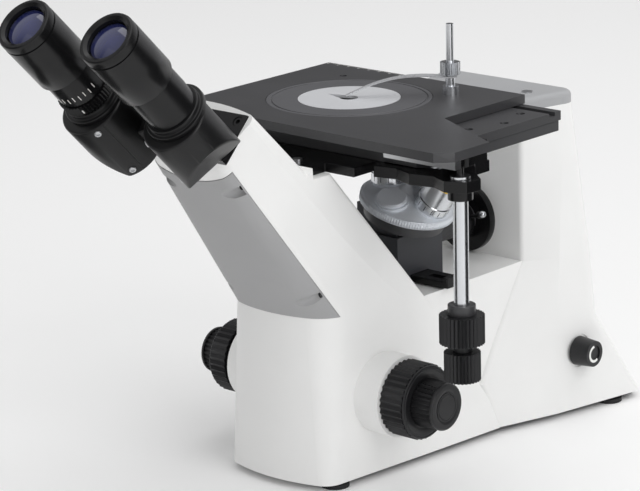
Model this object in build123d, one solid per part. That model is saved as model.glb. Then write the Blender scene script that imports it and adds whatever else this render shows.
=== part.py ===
"""Inverted metallurgical microscope, millimetres, +Z up.

The origin lies on the bench under the optical axis, X is the user's right and Y runs to the rear.
"""
import os
from math import cos, pi, radians, sin, sqrt, tan

from build123d import *

# Clearances
RUN = 0.3          # between faces that slide or turn past each other
FIT = 0.08         # radial, shafts in their bores
SEAM = 0.2         # between the two castings

# Stand
FOOT_HEIGHT = 5.0
FOOT_RADIUS = 10.0
FOOT_FRONT = (38.0, -108.0)
FOOT_REAR = (78.0, 158.0)
PLATE_THICK = 2.0
SHELF_Z = 120.0
WAIST_Z = 125.0
LEAN = 51.0               # slope of the neck above the bench, degrees
FRONT_HALF = 47.7         # half width of the front face
FRONT_Y = -133.0          # foremost point of the bowed front
FOOT_CROWN = 9.4          # how far the front face bows forward at the foot
FOOT_CORNER = 14.0        # radius of its upright corners there
WAIST_CROWN = 12.0
WAIST_CORNER = 28.0
WAIST_FRONT_Y = -129.5
TOP_OUTLINE_Z = 290.0     # an outline above the neck's end, which draws it in
TOP_FRONT_Y = -238.0
TOP_HALF = 32.0
TOP_CROWN = 3.0
TOP_CORNER = 8.0
END_CROWN = 5.0           # rise of the arched upper edge of the neck
SIDE_Y = -32.6            # where the front flank meets the slab
SIDE_HALF = 55.8
SLAB_HALF = 62.3          # half width of the neck slab at the foot
SLAB_DRAFT = 0.0665
NOTCH_REAR = -113.6
NOTCH_FRONT = -133.4
NECK_REAR = [(-29.0, 126.0), (-8.0, 91.0), (36.0, 30.0), (47.0, FOOT_HEIGHT)]
FLANK_END_Y = NECK_REAR[3][0] + 5
WALL = 4.0

# Tower and bench of the rear housing
TOWER_TOP = 241.0
TOWER_FRONT = 89.0
TOWER_EDGE = 50.0         # half width of the tower's front face
BENCH_HALF_TOP = 50.0
BENCH_HALF_FOOT = 55.0
LID_THICK = 9.0
LID_ROUND = 4.0
TOWER_ROUND = 11.0        # rear upright corners
EDGE_ROUND = 4.5          # front upright corners
LID_SECTION = (TOWER_EDGE, TOWER_FRONT, 59, 127, 66, 143)

# Head frame: T runs along the eyepieces, U across them in the plane of symmetry
HEAD_LEAN = 45.0
NECK_TOP_U = 72.0
NECK_END_T = 330.0

# Focus drive
FOCUS_Y = -71.0
FOCUS_Z = 62.3
BOSS_RADIUS = 29.0
BOSS_FACE = 71.0
COARSE_RADIUS = 27.0
COARSE_LENGTH = 19.0
FINE_RADIUS = 17.5
FINE_TIP_RADIUS = 16.0
FINE_END = 109.4
FINE_STEP = 1.0           # air between the coarse and fine knobs
FLUTE_DEPTH = 1.3
COARSE_SHAFT = 6.0
FINE_SHAFT = 3.0
PINION_RADIUS = 8.0
PINION_HALF = 8.0
TENSION_THICK = 5.0
TENSION_RADIUS = 25.0

# Nosepiece
COLUMN_HALF = 22.0
COLUMN_FRONT = -18.0
COLUMN_REAR = 32.0
COLUMN_FOOT_Z = 40.0
ARM_HALF = 7.0
ARM_LOW = 42.0
ARM_HIGH = 82.0
LIFT_UP = 3.0
LIFT_DOWN = 6.0
TURRET_TILT = 18.0
SEAT_RADIUS = 20.0
SEAT_Z = 191.0
TURRET_RADIUS = 34.5
RIM_HEIGHT = 5.5
BASE_THICK = 9.0
COLUMN_WALL = 3.5
COLUMN_BOX_TOP = 156.0
SLIDER_FRONT = -4.0
SLIDER_REAR = 16.0
SLIDER_THICK = 4.5
SLIDER_END = 56.0
PIVOT_RADIUS = 6.0
BOSS_SEAT = 12.5
SEAT_RISE = 0.8
COARSE_FLUTES = 36
FINE_FLUTES = 30

# Front panel
PANEL_PROUD = 0.6
PANEL_DEPTH = 6.0
PANEL_SHORT = 16.0        # its upper corners to the end of the neck
PANEL_INSET = 0.5
HOLLOW_RADIUS = 110.0     # of the hollowed upper edge
HOLLOW_DEPTH = 6.0
POCKET_RADIUS = 4.2       # slanting screw pockets near the corners
POCKET_SLANT = 36.0
POCKET_LENGTH = 12.0
POCKETS = ((141.0, 3.0), (228.5, 6.0))     # height and distance from the edge

# Lid, rear fittings, dimmer and light path
LID_SCREW_RADIUS = 4.0
LID_SCREW = (38.0, 112.0)
REAR_LOW_Y = 145.8
REAR_HIGH_Y = 143.0
COVER_HALF = 36.0
COVER_LOW = 128.0
COVER_HIGH = 218.0
COVER_THICK = 3.0
VENTS = 7
VENT_PITCH = 10.0
VENT_HALF = 26.0
VENT_GAP = 4.0
INLET_X = -22.0
INLET_Z = 98.0
INLET_HALF = 15.0
INLET_TALL = 11.0
INLET_DEPTH = 18.0
SWITCH_X = 30.0
SWITCH_HALF = 7.0
SWITCH_TALL = 9.0
DIMMER_X = 77.0
DIMMER_Y = 121.5
DIMMER_Z = 48.4
DIMMER_RADIUS = 11.0
DIMMER_LENGTH = 15.0
DIMMER_SHAFT = 3.0
LIGHT_Z = 146.4
FLANGE_RADIUS = 25.5
FLANGE_THICK = 6.0
TUBE_RADIUS = 12.0
IRIS_RADIUS = 16.0
IRIS_WIDTH = 8.0
LEVER_ANGLE = 18.0

# Stage
RING_X = -15.0
RING_Y = -24.4
BASE_LOW = 234.0
SUPPORT_THICK = 6.5
BASE_PLATE = 7.6
MID_PLATE = 6.9
TOP_PLATE = 6.8
NOTCH_Z = BASE_LOW - SUPPORT_THICK
BASE_TOP = BASE_LOW + BASE_PLATE
MID_TOP = BASE_TOP + MID_PLATE
TOP_Z = MID_TOP + TOP_PLATE
PLATE_GAP = 0.3
KEY_HALF = 3.0
KEY_DEPTH = 2.5
KEY_X = 78.0
KEY_Y = 44.0
INSERT_RADIUS = 59.0
DISC_RADIUS = 36.5
LEDGE = 4.0
LEDGE_THICK = 2.2
DROP_RADIUS = 6.5
DROP_LENGTH = 20.0
STAGE_BACK = 55.6
STAGE_LEFT = -105.0
STAGE_RIGHT = 80.0
MID_RIGHT = 113.0
TRAVEL_REAR = 45.0
TRAVEL_FRONT = 5.0
OBJECTIVE_CLEAR = 16.0

# Stage drive
ROD_X = 140.0
ROD_Y = -91.0
ROD_RADIUS = 5.2
INNER_RADIUS = 2.5
BRACKET_THICK = 8.0
BRACKET_TOP = BASE_LOW - PLATE_GAP
BRACKET_LOW = BRACKET_TOP - BRACKET_THICK
COLLAR_RADIUS = 9.5
ROD_LENGTH = 85.7         # bare rod and collar below the bracket
COLLAR_LENGTH = 7.0
UPPER_LENGTH = 20.0
KNOB_GAP = 6.0
LOWER_LENGTH = 20.0
COLLAR_LOW = BRACKET_LOW - ROD_LENGTH
COLLAR_TOP = COLLAR_LOW + COLLAR_LENGTH
UPPER_KNOB = 15.5
UPPER_LOW = COLLAR_LOW - UPPER_LENGTH
NECK_RADIUS = 6.75
LOWER_KNOB = 12.5
LOWER_TOP = UPPER_LOW - KNOB_GAP
LOWER_LOW = LOWER_TOP - LOWER_LENGTH
KNOB_END = 4.0            # closed end of the lower knob
DRIVE_PINION = 6.0

# Clip
POST_X = 35.6
POST_Y = 26.9
POST_RADIUS = 2.7
POST_HEIGHT = 50.7
SHOULDER_HEIGHT = 12.7
POST_TOP = TOP_Z + POST_HEIGHT
SHOULDER_Z = TOP_Z + SHOULDER_HEIGHT
NUT_RADIUS = 7.2
CLIP_WIDTH = 7.0
CLIP_HOLE_DEPTH = 5.0

# Binocular head
HINGE_U = 49.5
HINGE_RADIUS = 7.0
HEAD_PROUD = 1.5
HEAD_AIR = 0.5
ARM_LENGTH = 53.0
EYEPIECE_LENGTH = 78.0
COLLAR_RISE = 7.0
PLATE_T = NECK_END_T + HEAD_PROUD
HEAD_HALF = 40.0          # black plate let into the end of the neck
HEAD_LOW_U = 30.0
HEAD_HIGH_U = 66.0
HEAD_SUNK = 4.0
HEAD_SCREW_INSET = 5.5
HEAD_SCREW_RADIUS = 3.4
HEAD_SCREW_DEEP = 3.0
ARM_LOW_T = PLATE_T + HEAD_AIR
ARM_TOP_T = ARM_LOW_T + ARM_LENGTH
ARM_REACH = 42.1
ARM_ANGLE = 27.0
POD_RADIUS = 23.0
KNUCKLE = 14.0
COLLAR_T = ARM_TOP_T + COLLAR_RISE
EYE_TOP_T = COLLAR_T + EYEPIECE_LENGTH
STUB_RADIUS = 15.0
STUB_DEPTH = 20.0
POD_DROP = 5.0            # pod axis below the eyepiece axis
FACET_TURN = 26.0         # slanting lower end of each pod: its bearing below the outward direction
FACET_RISE = 36.4         # and its tilt
LENS_RADIUS = 12.6
LENS_CURVE = 30.0


def box(x0, x1, y0, y1, z0, z1):
    return Pos((x0 + x1) / 2, (y0 + y1) / 2, (z0 + z1) / 2) * Box(x1 - x0, y1 - y0, z1 - z0)


def rod(radius, z0, z1, x=0.0, y=0.0):
    return Pos(x, y, (z0 + z1) / 2) * Cylinder(radius, z1 - z0)


def rod_x(radius, x0, x1, y, z):
    return Pos((x0 + x1) / 2, y, z) * Rot(0, 90, 0) * Cylinder(radius, x1 - x0)


def rod_y(radius, y0, y1, x, z):
    return Pos(x, (y0 + y1) / 2, z) * Rot(90, 0, 0) * Cylinder(radius, y1 - y0)


def polygon(points):
    return make_face(Polyline(*points, close=True))


def side_prism(points, half):
    return extrude(Plane.YZ * polygon(points), half, both=True)


def flat_prism(points, z0, z1):
    return extrude(Pos(0, 0, z0) * polygon(points), z1 - z0)


def fluted(radius, length, flutes, tip_radius=None):
    """A knob along +Z from 0, with V flutes round its rim."""
    def star(size):
        step = pi / flutes
        radii = [size, size - FLUTE_DEPTH]
        return [(radii[i % 2] * cos(i * step), radii[i % 2] * sin(i * step)) for i in range(2 * flutes)]
    tip = tip_radius or radius
    if tip == radius:
        return extrude(polygon(star(radius)), length)
    return loft([polygon(star(radius)), Pos(0, 0, length) * polygon(star(tip))], ruled=True)


def ring(outer, inner, z0, z1):
    return rod(outer, z0, z1) - rod(inner, z0 - 1, z1 + 1)


def mirrored(points):
    return points + [(-x, y) for x, y in reversed(points)]


def head_point(t, u):
    return (u * sin(radians(HEAD_LEAN)) - t * cos(radians(HEAD_LEAN)),
            u * cos(radians(HEAD_LEAN)) + t * sin(radians(HEAD_LEAN)))


HEAD = Plane(origin=(0, 0, 0), x_dir=(1, 0, 0),
             z_dir=(0, -cos(radians(HEAD_LEAN)), sin(radians(HEAD_LEAN))))
lean = Vector(0, -cos(radians(LEAN)), sin(radians(LEAN)))
NOTCH_T = (NECK_TOP_U - 2 * NOTCH_FRONT * sin(radians(HEAD_LEAN)))
parts = {}


# Front stand: bowed plan outlines lofted from the foot to the waist and on along the narrowing neck
def front_outline(z, front_y, half, crown, corner, back=0.0):
    """Plan of the stand at one height: a bowed front, two rounded corners and straight flanks."""
    right = [(half, front_y + crown), (SIDE_HALF, SIDE_Y + back), (SLAB_HALF, FLANK_END_Y + back)]
    left = [(-x, y) for x, y in reversed(right)]
    edges = [ThreePointArc(left[-1], (0, front_y), right[0])]
    for first, second in zip(right + left, right[1:] + left):
        edges.append(Line(first, second))
    face = make_face(edges)
    front_corners = face.vertices().sort_by(Axis.Y)[:2]
    return Pos(0, 0, z) * fillet(front_corners, corner)


def foot_outline(shift=0.0):
    return front_outline(FOOT_HEIGHT, FRONT_Y + shift, FRONT_HALF, FOOT_CROWN, FOOT_CORNER, shift)


def waist_outline(shift=0.0):
    return front_outline(WAIST_Z, WAIST_FRONT_Y + shift, FRONT_HALF, WAIST_CROWN, WAIST_CORNER, shift)


def neck(shift):
    """The leaning neck, its outline moved back by a distance."""
    back = shift - (TOP_OUTLINE_Z - WAIST_Z) / tan(radians(LEAN))
    top = front_outline(TOP_OUTLINE_Z, TOP_FRONT_Y + shift, TOP_HALF, TOP_CROWN, TOP_CORNER, back)
    return loft([waist_outline(shift), top], ruled=True)


def stand_profile():
    top_rear = head_point(NECK_END_T, NECK_TOP_U)
    top_front = head_point(NECK_END_T, -60.0)
    notch_u = (NOTCH_FRONT, NECK_TOP_U / sin(radians(HEAD_LEAN)) - NOTCH_FRONT)
    return [(FRONT_Y - 20, FOOT_HEIGHT), (FRONT_Y - 20, WAIST_Z), top_front, top_rear, notch_u,
            (NOTCH_FRONT, NOTCH_Z), (NOTCH_REAR, NOTCH_Z)] + NECK_REAR


def slab_wedge():
    top = 320.0
    top_half = SLAB_HALF - SLAB_DRAFT * (top - FOOT_HEIGHT)
    wedge = [(-SLAB_HALF, FOOT_HEIGHT), (SLAB_HALF, FOOT_HEIGHT), (top_half, top), (-top_half, top)]
    return extrude(Plane.XZ * polygon(wedge), 320, both=True)


WELL_FRONT = FOCUS_Y - PINION_RADIUS - 6
well_box = box(-COLUMN_HALF - 1.5, COLUMN_HALF + 1.5, WELL_FRONT, COLUMN_REAR + 1.5,
               COLUMN_FOOT_Z - LIFT_DOWN - 3, SHELF_Z - WALL)
block_half = COLUMN_HALF - COLUMN_WALL
block_front = COLUMN_FRONT + COLUMN_WALL
block_rear = COLUMN_REAR - COLUMN_WALL
column_gap = box(-block_half - RUN, block_half + RUN, block_front - RUN, block_rear + RUN,
                 SHELF_Z - WALL - 1, SHELF_Z + 20)

lower = loft([foot_outline(), waist_outline()], ruled=True)
stand = (lower + neck(0.0)) & side_prism(stand_profile(), 80) & slab_wedge()
end_half = SLAB_HALF - SLAB_DRAFT * (head_point(NECK_END_T, NECK_TOP_U)[1] - FOOT_HEIGHT)
arch_radius = (end_half ** 2 + END_CROWN ** 2) / (2 * END_CROWN)
above_arch = box(-80, 80, NECK_TOP_U - 2 * END_CROWN, NECK_TOP_U + 9, NOTCH_T, NECK_END_T + 5)
above_arch -= rod(arch_radius, NOTCH_T - 1, NECK_END_T + 6, 0, NECK_TOP_U - arch_radius)
stand -= HEAD * above_arch
neck_edges = [edge for edge in stand.edges().filter_by(GeomType.ELLIPSE) if abs(edge.center().X) > end_half]
stand = fillet(neck_edges, EDGE_ROUND)
rear_edges = [edge for edge in stand.edges().filter_by(GeomType.LINE) if abs(edge.center().X) > end_half
              and NECK_REAR[0][1] + 5 < edge.center().Z < NOTCH_Z - 5 and abs(edge.tangent_at(0.5).Z) > 0.5]
stand = fillet(rear_edges, EDGE_ROUND)
for side in (-1, 1):
    inner, outer = sorted((side * 40.0, side * BOSS_FACE))
    stand += rod_x(BOSS_RADIUS, inner, outer, FOCUS_Y, FOCUS_Z)
stand -= well_box
stand -= column_gap
stand -= rod_x(COARSE_SHAFT + FIT, -80, 80, FOCUS_Y, FOCUS_Z)
parts["front_stand"] = stand


# Rear housing: a ruled tower over a flared foot, joined to a flat bench
def tower_section(z, front_half, front_y, flank_half, flank_y, rear_half, rear_y):
    face = polygon(mirrored([(front_half, front_y), (flank_half, flank_y), (rear_half, rear_y)]))
    corners = face.vertices().sort_by(Axis.Y)
    face = fillet(corners[-2:], TOWER_ROUND)
    return Pos(0, 0, z) * fillet(face.vertices().sort_by(Axis.Y)[:2], EDGE_ROUND)


sections = [tower_section(FOOT_HEIGHT, 61, 46, 76, 97, 93, 186),
            tower_section(40, 57, 33, 73, 99, 87, 165.6),
            tower_section(72, 54, 55, 70, 104, 83, 147),
            tower_section(SHELF_Z, TOWER_EDGE, TOWER_FRONT, 68, 111, 79, 145.8),
            tower_section(TOWER_TOP - LID_THICK, *LID_SECTION)]
tower = loft(sections, ruled=True)
bench_front = [(y + SEAM, z) for y, z in NECK_REAR]
bench_top_front = NECK_REAR[0][0] + SEAM + (WAIST_Z + 1 - SHELF_Z) * 0.6
bench_line = [(bench_top_front, SHELF_Z)] + bench_front[1:]
bench = side_prism(bench_line + [(110.0, FOOT_HEIGHT), (110.0, SHELF_Z)], 80)
bench &= extrude(Plane.XZ * polygon([(-BENCH_HALF_FOOT, FOOT_HEIGHT), (BENCH_HALF_FOOT, FOOT_HEIGHT),
                                     (BENCH_HALF_TOP, SHELF_Z), (-BENCH_HALF_TOP, SHELF_Z)]), 320, both=True)
behind_seam = side_prism([(-60, 130), (bench_top_front - 3, 125)] + bench_line
                         + [(200.0, FOOT_HEIGHT), (200.0, TOWER_TOP), (-60, TOWER_TOP)], 120)
housing = (tower & behind_seam) + bench
housing -= well_box
housing -= column_gap
parts["rear_housing"] = housing

# Bottom plate and feet
plate_line = [(43, -118), (52, -33), (58, 46), (88, 174), (80, 182)]
parts["bottom_plate"] = flat_prism(mirrored(plate_line), FOOT_HEIGHT - PLATE_THICK, FOOT_HEIGHT)
feet = [rod(FOOT_RADIUS, 0, FOOT_HEIGHT - PLATE_THICK, side * x, y)
        for x, y in (FOOT_FRONT, FOOT_REAR) for side in (-1, 1)]
parts["rubber_feet"] = Compound(feet)


# Front panel: a bowed skin let into the front of the neck, narrowing with it and hollowed at its upper edge
def panel_span(margin):
    near_end = [head_point(NECK_END_T - PANEL_SHORT + margin, u) for u in (-70.0, 90.0)]
    span = side_prism([(FRONT_Y - 30, WAIST_Z - 1 - margin), (FRONT_Y + 90, WAIST_Z - 1 - margin),
                       near_end[1], near_end[0]], 80)
    low_half = FRONT_HALF - PANEL_INSET + margin
    top_half = TOP_HALF - PANEL_INSET + margin
    span &= extrude(Plane.XZ * polygon([(-low_half, WAIST_Z - 2), (low_half, WAIST_Z - 2),
                                        (top_half, TOP_OUTLINE_Z), (-top_half, TOP_OUTLINE_Z)]), 320, both=True)
    centre_t = NECK_END_T - PANEL_SHORT + HOLLOW_RADIUS - HOLLOW_DEPTH
    return span - HEAD * Pos(0, 0, centre_t) * Rot(90, 0, 0) * Cylinder(HOLLOW_RADIUS - margin, 320)


panel = (neck(-PANEL_PROUD) - neck(PANEL_DEPTH)) & panel_span(0.0)
panel_seat = (neck(-PANEL_PROUD - 5) - neck(PANEL_DEPTH + RUN)) & panel_span(RUN)
parts["front_stand"] -= panel_seat
for level, inset in POCKETS:
    share = (level - WAIST_Z) / (TOP_OUTLINE_Z - WAIST_Z)
    half = FRONT_HALF + (TOP_HALF - FRONT_HALF) * share
    pocket_x = half - inset
    crown = WAIST_CROWN + (TOP_CROWN - WAIST_CROWN) * share
    pocket_y = WAIST_FRONT_Y + (TOP_FRONT_Y - WAIST_FRONT_Y) * share + crown * (pocket_x / half) ** 2
    slant = radians(POCKET_SLANT)
    for side in (-1, 1):
        inward = (side * cos(slant), sin(slant) * sin(radians(LEAN)), sin(slant) * cos(radians(LEAN)))
        aim = Plane(origin=(side * pocket_x, pocket_y, level), z_dir=inward)
        panel -= aim * rod(POCKET_RADIUS, -2 * POCKET_LENGTH, POCKET_LENGTH / 2)
parts["front_panel"] = panel

# Tower lid with its screw
lid = extrude(tower_section(TOWER_TOP - LID_THICK, *LID_SECTION), LID_THICK)
parts["tower_lid"] = fillet(lid.edges().group_by(Axis.Z)[-1], LID_ROUND)
parts["lid_screw"] = rod(LID_SCREW_RADIUS, TOWER_TOP, TOWER_TOP + 0.8, LID_SCREW[0], LID_SCREW[1])


# Rear of the tower: vent cover, mains inlet and switch
def rear_y(z):
    return REAR_LOW_Y + (REAR_HIGH_Y - REAR_LOW_Y) * (z - SHELF_Z) / (TOWER_TOP - LID_THICK - SHELF_Z)


def rear_plate(half, z0, z1, thick, x=0.0):
    face = [(rear_y(z0), z0), (rear_y(z0) + thick, z0), (rear_y(z1) + thick, z1), (rear_y(z1), z1)]
    return Pos(x, 0, 0) * side_prism(face, half)


cover = rear_plate(COVER_HALF, COVER_LOW, COVER_HIGH, COVER_THICK)
for i in range(VENTS):
    level = COVER_LOW + 14 + i * VENT_PITCH
    cover -= box(-VENT_HALF, VENT_HALF, REAR_HIGH_Y - 5, REAR_LOW_Y + 10, level, level + VENT_GAP)
parts["vent_cover"] = cover

inlet_y = rear_y(INLET_Z)
pocket = box(INLET_X - INLET_HALF - RUN, INLET_X + INLET_HALF + RUN, inlet_y - INLET_DEPTH - RUN, inlet_y + 5,
             INLET_Z - INLET_TALL - RUN, INLET_Z + INLET_TALL + RUN)
parts["rear_housing"] -= pocket
inlet = box(INLET_X - INLET_HALF, INLET_X + INLET_HALF, inlet_y - INLET_DEPTH, inlet_y + 1,
            INLET_Z - INLET_TALL, INLET_Z + INLET_TALL)
inlet += rear_plate(INLET_HALF + 5, INLET_Z - INLET_TALL - 4, INLET_Z + INLET_TALL + 4, 2.0, INLET_X)
inlet -= box(INLET_X - INLET_HALF + 2.5, INLET_X + INLET_HALF - 2.5, inlet_y - INLET_DEPTH + 3, inlet_y + 9,
             INLET_Z - INLET_TALL + 2.5, INLET_Z + INLET_TALL - 2.5)
for shift, drop in ((-7, 1.5), (0, -1.5), (7, 1.5)):
    inlet += box(INLET_X + shift - 1, INLET_X + shift + 1, inlet_y - INLET_DEPTH + 2, inlet_y - 2,
                 INLET_Z + drop - 2, INLET_Z + drop + 2)
parts["power_inlet"] = inlet

parts["rear_housing"] -= box(SWITCH_X - SWITCH_HALF - RUN, SWITCH_X + SWITCH_HALF + RUN, inlet_y - 12, inlet_y + 5,
                             INLET_Z - SWITCH_TALL, INLET_Z + SWITCH_TALL)
parts["power_switch"] = box(SWITCH_X - SWITCH_HALF, SWITCH_X + SWITCH_HALF, inlet_y - 8, inlet_y + 3,
                            INLET_Z - SWITCH_TALL + 1.8, INLET_Z + SWITCH_TALL - 1.8)

# Lamp dimmer on the right flank
parts["rear_housing"] -= rod_x(DIMMER_RADIUS + 1.5, DIMMER_X, DIMMER_X + 20, DIMMER_Y, DIMMER_Z)
parts["rear_housing"] -= rod_x(DIMMER_SHAFT + FIT, 62, DIMMER_X + 1, DIMMER_Y, DIMMER_Z)
dimmer = extrude(Circle(DIMMER_RADIUS), DIMMER_LENGTH, taper=5)
dimmer -= rod(DIMMER_RADIUS - 4.5, DIMMER_LENGTH - 1, DIMMER_LENGTH + 1)
dimmer += rod(DIMMER_SHAFT, -10, 1)
parts["dimmer_knob"] = Pos(DIMMER_X + RUN, DIMMER_Y, DIMMER_Z) * Rot(0, 90, 0) * dimmer


# Light path: flange on the tower, tube to the column, diaphragm ring with its lever
parts["lamp_flange"] = rod_y(FLANGE_RADIUS, TOWER_FRONT - FLANGE_THICK, TOWER_FRONT, 0, LIGHT_Z)
parts["light_tube"] = rod_y(TUBE_RADIUS, COLUMN_REAR, TOWER_FRONT - FLANGE_THICK, 0, LIGHT_Z)
ring_y = TOWER_FRONT - FLANGE_THICK - 6 - IRIS_WIDTH
iris = rod_y(IRIS_RADIUS, ring_y, ring_y + IRIS_WIDTH, 0, 0)
iris -= rod_y(TUBE_RADIUS + FIT, ring_y - 1, ring_y + IRIS_WIDTH + 1, 0, 0)
lever = Pos(IRIS_RADIUS + 3.5, ring_y + IRIS_WIDTH / 2, 0) * Rot(0, 90, 0) * Cylinder(1.5, 9)
lever += Pos(IRIS_RADIUS + 9, ring_y + IRIS_WIDTH / 2, 0) * Sphere(3.0)
parts["iris_ring"] = Pos(0, 0, LIGHT_Z) * Rot(0, -LEVER_ANGLE, 0) * (iris + lever)

# Focus drive: coarse tube with pinion, fine shaft through it, two knobs a side
coarse_end = BOSS_FACE + RUN + COARSE_LENGTH
fine_start = coarse_end + FINE_STEP


def on_focus(shape, x):
    """Stands a knob made along +Z on the focus axis, pointing away from the stand."""
    turn = 90 if x > 0 else -90
    return Pos(x, FOCUS_Y, FOCUS_Z) * Rot(0, turn, 0) * shape


tube = rod_x(COARSE_SHAFT, -coarse_end + 8, coarse_end - 8, FOCUS_Y, FOCUS_Z)
tube += rod_x(PINION_RADIUS, -PINION_HALF, PINION_HALF, FOCUS_Y, FOCUS_Z)
tube -= rod_x(FINE_SHAFT + FIT, -120, 120, FOCUS_Y, FOCUS_Z)
parts["focus_shaft"] = tube
parts["fine_shaft"] = rod_x(FINE_SHAFT, -fine_start - 6, fine_start + 6, FOCUS_Y, FOCUS_Z)
for side, name in ((-1, "left"), (1, "right")):
    inset = TENSION_THICK + RUN if side < 0 else 0.0
    coarse = fluted(COARSE_RADIUS, COARSE_LENGTH - inset, COARSE_FLUTES)
    coarse += rod(COARSE_RADIUS - 3.5, COARSE_LENGTH - inset, COARSE_LENGTH - inset + 0.6)
    coarse -= rod(COARSE_SHAFT + FIT, -1, COARSE_LENGTH - inset - 8)
    coarse -= rod(FINE_SHAFT + FIT, -1, COARSE_LENGTH + 2)
    parts[f"{name}_coarse_knob"] = on_focus(coarse, side * (BOSS_FACE + RUN + inset))
    fine_length = FINE_END - fine_start
    fine = fluted(FINE_RADIUS, fine_length, FINE_FLUTES, FINE_TIP_RADIUS)
    fine -= rod(FINE_TIP_RADIUS - 4, fine_length - 2, fine_length + 1)
    fine -= rod(FINE_SHAFT + FIT, -1, 6)
    parts[f"{name}_fine_knob"] = on_focus(fine, side * fine_start)
tension = fluted(TENSION_RADIUS, TENSION_THICK, 40) - rod(COARSE_SHAFT + RUN, -1, TENSION_THICK + 1)
parts["tension_ring"] = on_focus(tension, -BOSS_FACE - RUN)

# Column box on the bench, and the lift block that slides in it
shell = box(-COLUMN_HALF, COLUMN_HALF, COLUMN_FRONT, COLUMN_REAR, SHELF_Z, COLUMN_BOX_TOP)
shell -= box(-block_half - RUN, block_half + RUN, block_front - RUN, block_rear + RUN, SHELF_Z - 1, COLUMN_BOX_TOP + 1)
slot_low = SHELF_Z + 1.5
shell -= box(0, COLUMN_HALF + 1, SLIDER_FRONT - RUN, SLIDER_REAR + RUN, slot_low - RUN, slot_low + SLIDER_THICK + RUN)
parts["column_box"] = shell

tilt = radians(TURRET_TILT)
AXIS = Plane(origin=(SEAT_RADIUS * cos(tilt), 0, SEAT_Z - SEAT_RADIUS * sin(tilt)),
             x_dir=(-cos(tilt), 0, sin(tilt)), z_dir=(sin(tilt), 0, cos(tilt)))
rim_top = -(TURRET_RADIUS - SEAT_RADIUS) * tan(tilt)
rim_low = rim_top - RIM_HEIGHT
base_top = rim_low - RUN
base_low = base_top - BASE_THICK
block = box(-block_half, block_half, block_front, block_rear, COLUMN_FOOT_Z, SEAT_Z + 10)
block -= AXIS * box(-90, 90, -90, 90, base_low, 60)
block -= box(-COLUMN_HALF, COLUMN_HALF, SLIDER_FRONT - 3, SLIDER_REAR + 3, slot_low - LIFT_UP - 2,
             slot_low + SLIDER_THICK + LIFT_DOWN + 2)
block += box(-ARM_HALF, ARM_HALF, FOCUS_Y + PINION_RADIUS + RUN, block_front + 1, ARM_LOW, ARM_HIGH)
parts["lift_block"] = block
slider = box(-block_half + 6, SLIDER_END, SLIDER_FRONT, SLIDER_REAR, slot_low, slot_low + SLIDER_THICK)
slider -= box(SLIDER_END - 24, SLIDER_END - 8, SLIDER_FRONT + 7, SLIDER_REAR - 7, slot_low - 1, slot_low + 9)
slider += box(SLIDER_END - 5, SLIDER_END, SLIDER_FRONT, SLIDER_REAR, slot_low, slot_low + SLIDER_THICK + 3)
parts["filter_slider"] = slider

# Turret on its tilted base
parts["turret_base"] = AXIS * (rod(TURRET_RADIUS - 5, base_low, base_top)
                               + rod(PIVOT_RADIUS, base_top - 1, rim_top + 1))
dome = [(0, rim_low), (TURRET_RADIUS - 2, rim_low), (TURRET_RADIUS - 2, rim_top),
        (9, (SEAT_RADIUS - 9) * tan(tilt)), (0, (SEAT_RADIUS - 9) * tan(tilt))]
turret = revolve(Plane.XZ * polygon(dome), Axis.Z)
turret += Pos(0, 0, rim_low) * fluted(TURRET_RADIUS, RIM_HEIGHT, 44)
turret -= rod(PIVOT_RADIUS + FIT, rim_low - 1, rim_top + 1 + RUN)


def station(index):
    """Frame of one objective seat, its Z along the objective."""
    return Rot(0, 0, 90 * index) * Pos(SEAT_RADIUS, 0, 0) * Rot(0, TURRET_TILT, 0)


for index in range(4):
    turret += station(index) * rod(BOSS_SEAT, -3, SEAT_RISE)
parts["turret"] = AXIS * turret


# Objectives, from the seat upwards
def objective(profile):
    return revolve(Plane.XZ * polygon([(0, 0)] + profile + [(0, profile[-1][1])]), Axis.Z)


low_power = [(13, 0), (13, 7), (12.3, 7.6), (12.3, 18), (9.8, 20), (9.8, 32), (8.8, 33.2)]
mid_power = [(13, 0), (13, 7), (12.3, 7.6), (12.3, 26), (10.6, 27), (10.6, 31), (5.5, 39.2)]
high_power = [(13, 0), (13, 7), (12.3, 7.6), (12.3, 30), (10.6, 31), (10.6, 37), (4.5, 45.2)]
for name, index, profile in (("objective_5x", 0, low_power), ("objective_10x", 2, mid_power),
                             ("objective_20x", 3, high_power)):
    parts[name] = AXIS * (station(index) * Pos(0, 0, SEAT_RISE) * objective(profile))
parts["turret_plug"] = AXIS * (station(1) * Pos(0, 0, SEAT_RISE) * objective([(11, 0), (11, 1.6), (10, 2.4)]))

# Stage support, bolted on the notch of the neck
support = flat_prism([(-40, NOTCH_FRONT + 2), (40, NOTCH_FRONT + 2), (40, -113), (66, -113), (66, -45),
                      (-66, -45), (-66, -113), (-40, -113)], NOTCH_Z, BASE_LOW)
parts["stage_support"] = support
parts["support_screws"] = Compound([rod(3.5, BASE_LOW, BASE_LOW + 2, x, -121) for x in (-22, 22)])

# Fixed base of the stage, with keyways that run fore and aft
base = flat_prism([(-104, -88), (100, -88), (112, -76), (112, 53), (-104, 53)], BASE_LOW, BASE_TOP)
base -= rod(OBJECTIVE_CLEAR + 26, BASE_LOW - 9, BASE_TOP + 1)
for x in (-KEY_X, KEY_X):
    base -= box(x - KEY_HALF - RUN, x + KEY_HALF + RUN, -120, 120, BASE_TOP - KEY_DEPTH - RUN, BASE_TOP + 1)
parts["stage_base"] = base

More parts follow.
